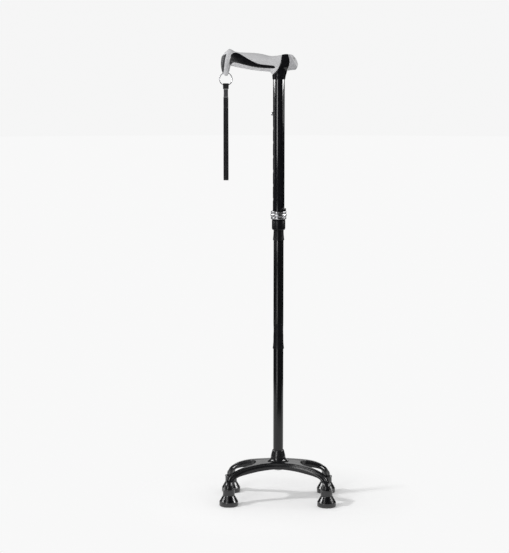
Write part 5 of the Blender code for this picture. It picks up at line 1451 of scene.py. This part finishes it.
def gripLoft(grow=0.0, start=handle["gripEnd"], end=handle["tail"], stations=110):
    top, bottom, width = (lineThrough(handle[k]) for k in ("top", "bottom", "halfWidth"))
    heart = handle["heart"]
    low, high = start - grow, end + grow
    rings = []
    for i in range(stations + 1):
        t = i / stations
        x = low + (high - low) * (t + 0.75 * t * (1 - t))  # stations stand closer toward the tail
        above, below, wide = top(x), bottom(x), width(x)
        if end == handle["tail"]:
            above = heart + (above - heart) * roundedEnd(x, high, handle["topRounding"])
            below = heart + (below - heart) * roundedEnd(x, high, handle["bottomRounding"])
        half = (wide + grow, (above - below) / 2 + grow)
        ring = oval((0, (above + below) / 2), half, 2.35, 88, 0.05)
        if end == handle["tail"]:
            ring = [(y * slantedEnd(x + (z - tailEnd["slantFrom"]) * tailEnd["slant"], high), z)
                    for y, z in ring]
        rings.append([Vector((x, y, z)) for y, z in ring])
    return lofted("grip", rings, 60)


def noseLoft(grow=0.0, stations=70):
    outerLine, innerLine, width = (lineThrough(handle[k]) for k in ("noseOuter", "noseInner", "noseHalf"))
    low, high = handle["tip"] - grow, handle["peak"] + grow
    rings = []
    for i in range(stations + 1):
        t = i / stations
        z = low + (high - low) * (t - 0.13 * math.sin(2 * math.pi * t))  # closer at both ends
        u = (z - low) / (high - low)
        middle = (outerLine(z) + innerLine(z)) / 2
        shrink = 0.25 + 0.75 * math.sqrt(max(0.0, 1 - abs(2 * u - 1) ** 10))
        half = ((innerLine(z) - outerLine(z)) / 2 * shrink + grow, width(z) * shrink + grow)
        rings.append([Vector((x, y, z)) for x, y in oval((middle, 0), half, 2.2, 88)])
    return lofted("nose", rings, 60)


def neckLoft(grow=0.0, stations=28):
    left, right, width = (lineThrough(handle[k]) for k in ("neckLeft", "neckRight", "neckHalf"))
    rings = []
    for i in range(stations + 1):
        z = handle["neckTop"] * i / stations
        middle = (left(z) + right(z)) / 2
        half = ((right(z) - left(z)) / 2 + grow, width(z) + grow)
        rings.append([Vector((x, y, z)) for x, y in oval((middle, 0), half, 2.0, 112)])
    return lofted("neck", rings, 60)


def movedLine(points, grow, closed=False):
    count = len(points)
    moved = []
    for i, (x, z) in enumerate(points):
        before = points[i - 1] if i or closed else points[0]
        after = points[(i + 1) % count] if i < count - 1 or closed else points[-1]
        run = (Vector(after) - Vector(before)).normalized()
        moved.append((x - run.y * grow, z + run.x * grow))
    return moved


def smoothClosed(points, steps):  # closed curve through all the points
    line = []
    count = len(points)
    for i in range(count):
        p0, p1, p2, p3 = (Vector(points[(i + k) % count]) for k in (-1, 0, 1, 2))
        for k in range(steps):
            t = k / steps
            line.append(tuple(0.5 * (2 * p1 + (p2 - p0) * t + (2 * p0 - 5 * p1 + 4 * p2 - p3) * t * t
                                     + (3 * p1 - p0 - 3 * p2 + p3) * t ** 3)))
    return line


def boundary(points, grow, steps=60):
    read = lineThrough(points)
    low, high = points[0][0], points[-1][0]
    return movedLine([(read(low + (high - low) * i / steps), low + (high - low) * i / steps)
                      for i in range(steps + 1)], grow)


def bandOutline(growLeft=0.0, growRight=0.0, reachLeft=False, reachRight=False):
    far, near, below = 0.130, 0.022, 0.0035
    above = handle["bandLeft"][-1][0]
    if reachLeft:
        outline = [(-far, -below), (-far, above)]
    else:
        left = boundary(handle["bandLeft"], growLeft)
        outline = [(-near, -below), (-near, left[0][1] - fit)] + left
    if reachRight:
        return outline + [(far, above), (far, -below)]
    right = boundary(handle["bandRight"], -growRight)
    return outline + right[::-1] + [(near, right[0][1] - fit), (near, -below)]


def capOutline(grow=0.0):
    edge = movedLine([(x, z) for z, x in handle["cap"]], -grow)
    return edge + [(-0.130, edge[-1][1]), (-0.130, edge[0][1])]


def inlayTool(side, grow=0.0):
    inner = handle["inlayInner"] - grow
    low, high = (-0.04, -inner) if side < 0 else (inner, 0.04)
    outline = movedLine(smoothClosed(handle["inlay"], 5), grow, True)
    return extruded("inlay", outline, low, high)


def ringHole():
    centre = strap["ringRadius"]
    thick = math.hypot(strap["wireWidth"] / 2, strap["wireThick"] + strap["turnGap"] / 2)
    profile = [(0, -0.0105)]
    for i in range(-24, 25):
        along = 0.0105 * i / 24
        sag = centre - math.sqrt(centre ** 2 - along ** 2)
        profile.append((sag + thick + fit, along))
    profile.append((0, 0.0105))
    mesh = turned("ringHole", profile, 48)
    mesh.transform(Matrix.Translation((ringX, 0, heights["ringPivot"] - heights["handle"]))
                   @ Matrix.Rotation(math.pi / 2, 4, "Y"))
    return mesh


def tongue(grow):
    return gripLoft(grow - handle["coreDepth"], handle["gripEnd"] + 0.009, handle["tail"] - 0.002, 80)


def finishHandle(item, paint, node, slot, voxel):
    melted(item, voxel, handle["rounds"])
    item.data.transform(Matrix.Translation((0, 0, heights["handle"])))
    item.data.materials.clear()
    item.data.materials.append(paints[paint])
    return seat(item, "upper", node, slot)


def makeHandle():
    wide = outer["radius"] + fit + handle["sleeveWall"]
    top = handle["tubeTop"] + 0.0015
    reach = (-0.04, 0.04)  # past both sides of the handle

    grip = addObject("gripCover", gripLoft())
    cutWith(grip, [neckLoft(), noseLoft()], "UNION")
    melted(grip, handle["bodyVoxel"], handle["bodyRounds"])
    cutWith(grip, [extruded("right", bandOutline(fit, 0, False, True), *reach), tongue(fit),
                   rod("sleeve", wide + fit, -0.0035, top + fit, 96), inlayTool(-1, fit),
                   inlayTool(1, fit), extruded("cap", capOutline(fit), *reach), ringHole()])
    finishHandle(grip, "gripGrey", "grip_cover", "grip_grey", handle["gripVoxel"])

    tail = addObject("tailCover", gripLoft())
    cutWith(tail, [extruded("left", bandOutline(0, fit, True, False), *reach), tongue(fit)])
    finishHandle(tail, "tailGreyPaintedShadeAndLight", "tail_cover", "grip_grey", handle["tailVoxel"])

    whole = addObject("whole", gripLoft())
    cutWith(whole, [neckLoft(), noseLoft()], "UNION")
    melted(whole, handle["bodyVoxel"], handle["bodyRounds"])
    cap = addObject("noseCap", extruded("cap", capOutline(), *reach))
    cutWith(cap, [whole.data.copy()], "INTERSECT")
    cutWith(cap, [ringHole()])
    finishHandle(cap, "capGrey", "nose_cap", "cap_grey", handle["capVoxel"])
    bpy.data.objects.remove(whole)

    proud = handle["proud"]
    proudBody = addObject("proudBody", gripLoft(proud))
    cutWith(proudBody, [neckLoft(proud)], "UNION")
    melted(proudBody, handle["bodyVoxel"], handle["bodyRounds"])
    core = addObject("handleCore", extruded("band", bandOutline(), *reach))
    cutWith(core, [proudBody.data.copy()], "INTERSECT")
    bpy.data.objects.remove(proudBody)
    pads = []
    for side in (-1, 1):
        pad = addObject("pad", inlayTool(side))
        cutWith(pad, [gripLoft(-proud / 2)], "INTERSECT")
        pads.append(pad.data.copy())
        bpy.data.objects.remove(pad)
    cutWith(core, [tongue(0.0), rod("sleeve", wide, 0.0120, top, 96)] + pads, "UNION")
    cutWith(core, [rod("socket", outer["radius"] + fit, -0.0035, handle["tubeTop"] + fit, 96)])
    cutWith(core, [rod("stub", staff["radius"], -handle["stubDepth"], handle["tubeTop"] + 2 * fit, 96)],
            "UNION")
    finishHandle(core, "handleGloss", "handle_core", "handle_black", handle["coreVoxel"])


makeHandle()
print("handle")


# hidden pieces keep their solids and get their own finish

carried = {
    "plainSteel": ["base_bolt", "base_washer", "lower_tube_plug",
                   "foot_washer_front_left", "foot_washer_front_right", "foot_washer_rear_left",
                   "foot_washer_rear_right"],
    "nylon": ["inner_tube_guide", "lock_collet"],
    "mouldedBlack": ["cord_stop"],
}
for paint, names in carried.items():
    for name in names:
        item = frame["nodes"][name]
        item.data.materials.clear()
        item.data.materials.append(paints[paint])
print("inner pieces")


# floor, world and lights

studio = {
    "floorColour": 0.93, "backdrop": 0.92, "floorGlow": 0.94, "fill": 0.62,
    "nearGlow": 0.15, "fadeFrom": 0.13, "fadeTo": 0.27,  # the shadow fades out between these radii
    "softboxes": [
        {"name": "leftBox", "azimuth": -97, "distance": 1.6, "width": 1.20, "low": 0.81, "high": 1.24,
         "level": 18.0, "onlyReflected": True},
        {"name": "leftSpill", "azimuth": -92.5, "distance": 1.6, "width": 0.28, "low": 0.38, "high": 0.79,
         "level": 2.0},
        {"name": "frontStrip", "azimuth": -30, "distance": 2.0, "width": 0.55, "low": 0.42, "high": 1.35,
         "level": 6.5},
        {"name": "frontSpill", "azimuth": -30, "distance": 1.2, "width": 0.33, "low": 0.0, "high": 0.28,
         "level": 3.0},
        {"name": "rightBox", "azimuth": 99, "distance": 1.6, "width": 1.20, "low": 0.81, "high": 1.24,
         "level": 21.0, "onlyReflected": True},
        {"name": "rightSpill", "azimuth": 97, "distance": 1.6, "width": 0.32, "low": 0.64, "high": 0.73,
         "level": 5.4},
    ],
    # from azimuth, to azimuth, distance, low and high edge
    "flags": [(-164, -121, 1.1, 0.0, 2.6), (-122, -76, 1.1, 0.0, 0.34), (-122, -76, 1.75, 0.1, 0.80),
              (-77, -39, 1.1, 0.0, 2.6), (-40, -20, 2.1, 0.0, 0.37), (-21, 78, 0.65, 0.0, 2.6),
              (77, 122, 1.1, 0.0, 0.56), (77, 122, 1.75, 0.1, 0.80), (121, 164, 1.1, 0.0, 2.6),
              (-164, -196, 1.1, 1.3, 2.6)],
    "ceiling": 2.6, "keyAzimuth": -68, "keyHeight": 43, "keySize": 0.50, "keyLevel": 0.29,
    "keyDistance": 6.0,
}


def aimed(azimuth, distance, low, high):
    # azimuth 0 is in front of the cane, negative to its left
    a = math.radians(azimuth)
    place = Vector((math.sin(a) * distance, -math.cos(a) * distance, (low + high) / 2))
    return Matrix.Translation(place) @ Matrix.Rotation(a, 4, "Z") @ Matrix.Rotation(math.pi / 2, 4, "X")


def makeSoftbox(box):
    data = bpy.data.lights.new(box["name"], "AREA")
    data.shape = "RECTANGLE"
    data.size = box["width"]
    data.size_y = box["high"] - box["low"]
    data.energy = box["level"] * math.pi * data.size * data.size_y
    item = bpy.data.objects.new(box["name"], data)
    bpy.context.scene.collection.objects.link(item)
    item.matrix_world = aimed(box["azimuth"], box["distance"], box["low"], box["high"])
    item.visible_camera = False
    item.visible_diffuse = not box.get("onlyReflected", False)
    return item


for box in studio["softboxes"]:
    makeSoftbox(box)

# key light, high at the left and 6 m away, which draws the shadow on the floor
rise = math.radians(studio["keyHeight"])
side = math.radians(studio["keyAzimuth"])
key = bpy.data.lights.new("keyLight", "AREA")
key.shape = "DISK"
key.size = studio["keySize"]
key.energy = studio["keyLevel"] * math.pi * studio["keyDistance"] ** 2 * math.pi / math.sin(rise)
keyItem = bpy.data.objects.new("keyLight", key)
bpy.context.scene.collection.objects.link(keyItem)
keyPlace = Vector((math.sin(side) * math.cos(rise), -math.cos(side) * math.cos(rise),
                   math.sin(rise))) * studio["keyDistance"]
keyItem.matrix_world = Matrix.Translation(keyPlace) @ keyPlace.to_track_quat("Z", "Y").to_matrix().to_4x4()
keyItem.visible_camera = False
keyItem.visible_glossy = False


def seenRays(owner):  # 1 for camera, glossy and transmission rays, which show the background
    rays = put(owner, "LightPath").outputs
    seen = calc(owner, "MAXIMUM", rays["Is Camera Ray"], rays["Is Glossy Ray"])
    return calc(owner, "MAXIMUM", seen, rays["Is Transmission Ray"])


world = bpy.data.worlds.new("studio")
bpy.context.scene.world = world
world.use_nodes = True
world.node_tree.nodes.clear()
sky = put(world, "Background", {"Color": (1, 1, 1, 1)})
wire(world, spread(world, seenRays(world), studio["fill"], studio["backdrop"], 0, 1),
     sky.inputs["Strength"])
wire(world, sky.outputs[0], put(world, "OutputWorld").inputs["Surface"])

floorPaint = emptyPaint("paleFloor")
spot = put(floorPaint, "BsdfDiffuse", {"Color": (studio["floorColour"],) * 3 + (1,)})
glow = put(floorPaint, "Emission", {"Color": (1, 1, 1, 1), "Strength": studio["floorGlow"]})
mix = put(floorPaint, "MixShader")
away = spread(floorPaint, radiusValue(floorPaint), studio["nearGlow"], 1, studio["fadeFrom"],
              studio["fadeTo"])
wire(floorPaint, calc(floorPaint, "MULTIPLY", away, seenRays(floorPaint)), mix.inputs["Fac"])
wire(floorPaint, spot.outputs[0], mix.inputs[1])
wire(floorPaint, glow.outputs[0], mix.inputs[2])
wire(floorPaint, mix.outputs[0], put(floorPaint, "OutputMaterial").inputs["Surface"])
floorItem = disc("floor", 12.0, 128, -0.0002, floorPaint)
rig.stage(floorItem)

flagPaint = emptyPaint("blackCloth")
cloth = put(flagPaint, "BsdfDiffuse", {"Color": (0.002, 0.002, 0.002, 1)})
wire(flagPaint, cloth.outputs[0], put(flagPaint, "OutputMaterial").inputs["Surface"])


def hang(item):  # black cloth that only reflections see
    item.visible_camera = False
    item.visible_diffuse = False
    item.visible_shadow = False
    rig.stage(item)


for start, end, distance, low, high in studio["flags"]:
    bm = bmesh.new()
    steps = 8
    rows = []
    for i in range(steps + 1):
        a = math.radians(start + (end - start) * i / steps)
        rows.append([bm.verts.new((math.sin(a) * distance, -math.cos(a) * distance, z))
                     for z in (low, high)])
    for one, two in zip(rows, rows[1:]):
        bm.faces.new((one[0], two[0], two[1], one[1]))
    mesh = bpy.data.meshes.new("flag")
    bm.to_mesh(mesh)
    bm.free()
    hang(addObject("flag", mesh, flagPaint))
hang(disc("ceiling", 1.3, 48, studio["ceiling"], flagPaint))
print("studio")

bpy.context.view_layer.update()
with open("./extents.json", "w") as f:
    json.dump({"cad": [list(v) for v in cadBox], "visual": [list(v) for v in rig.bounds()]}, f)
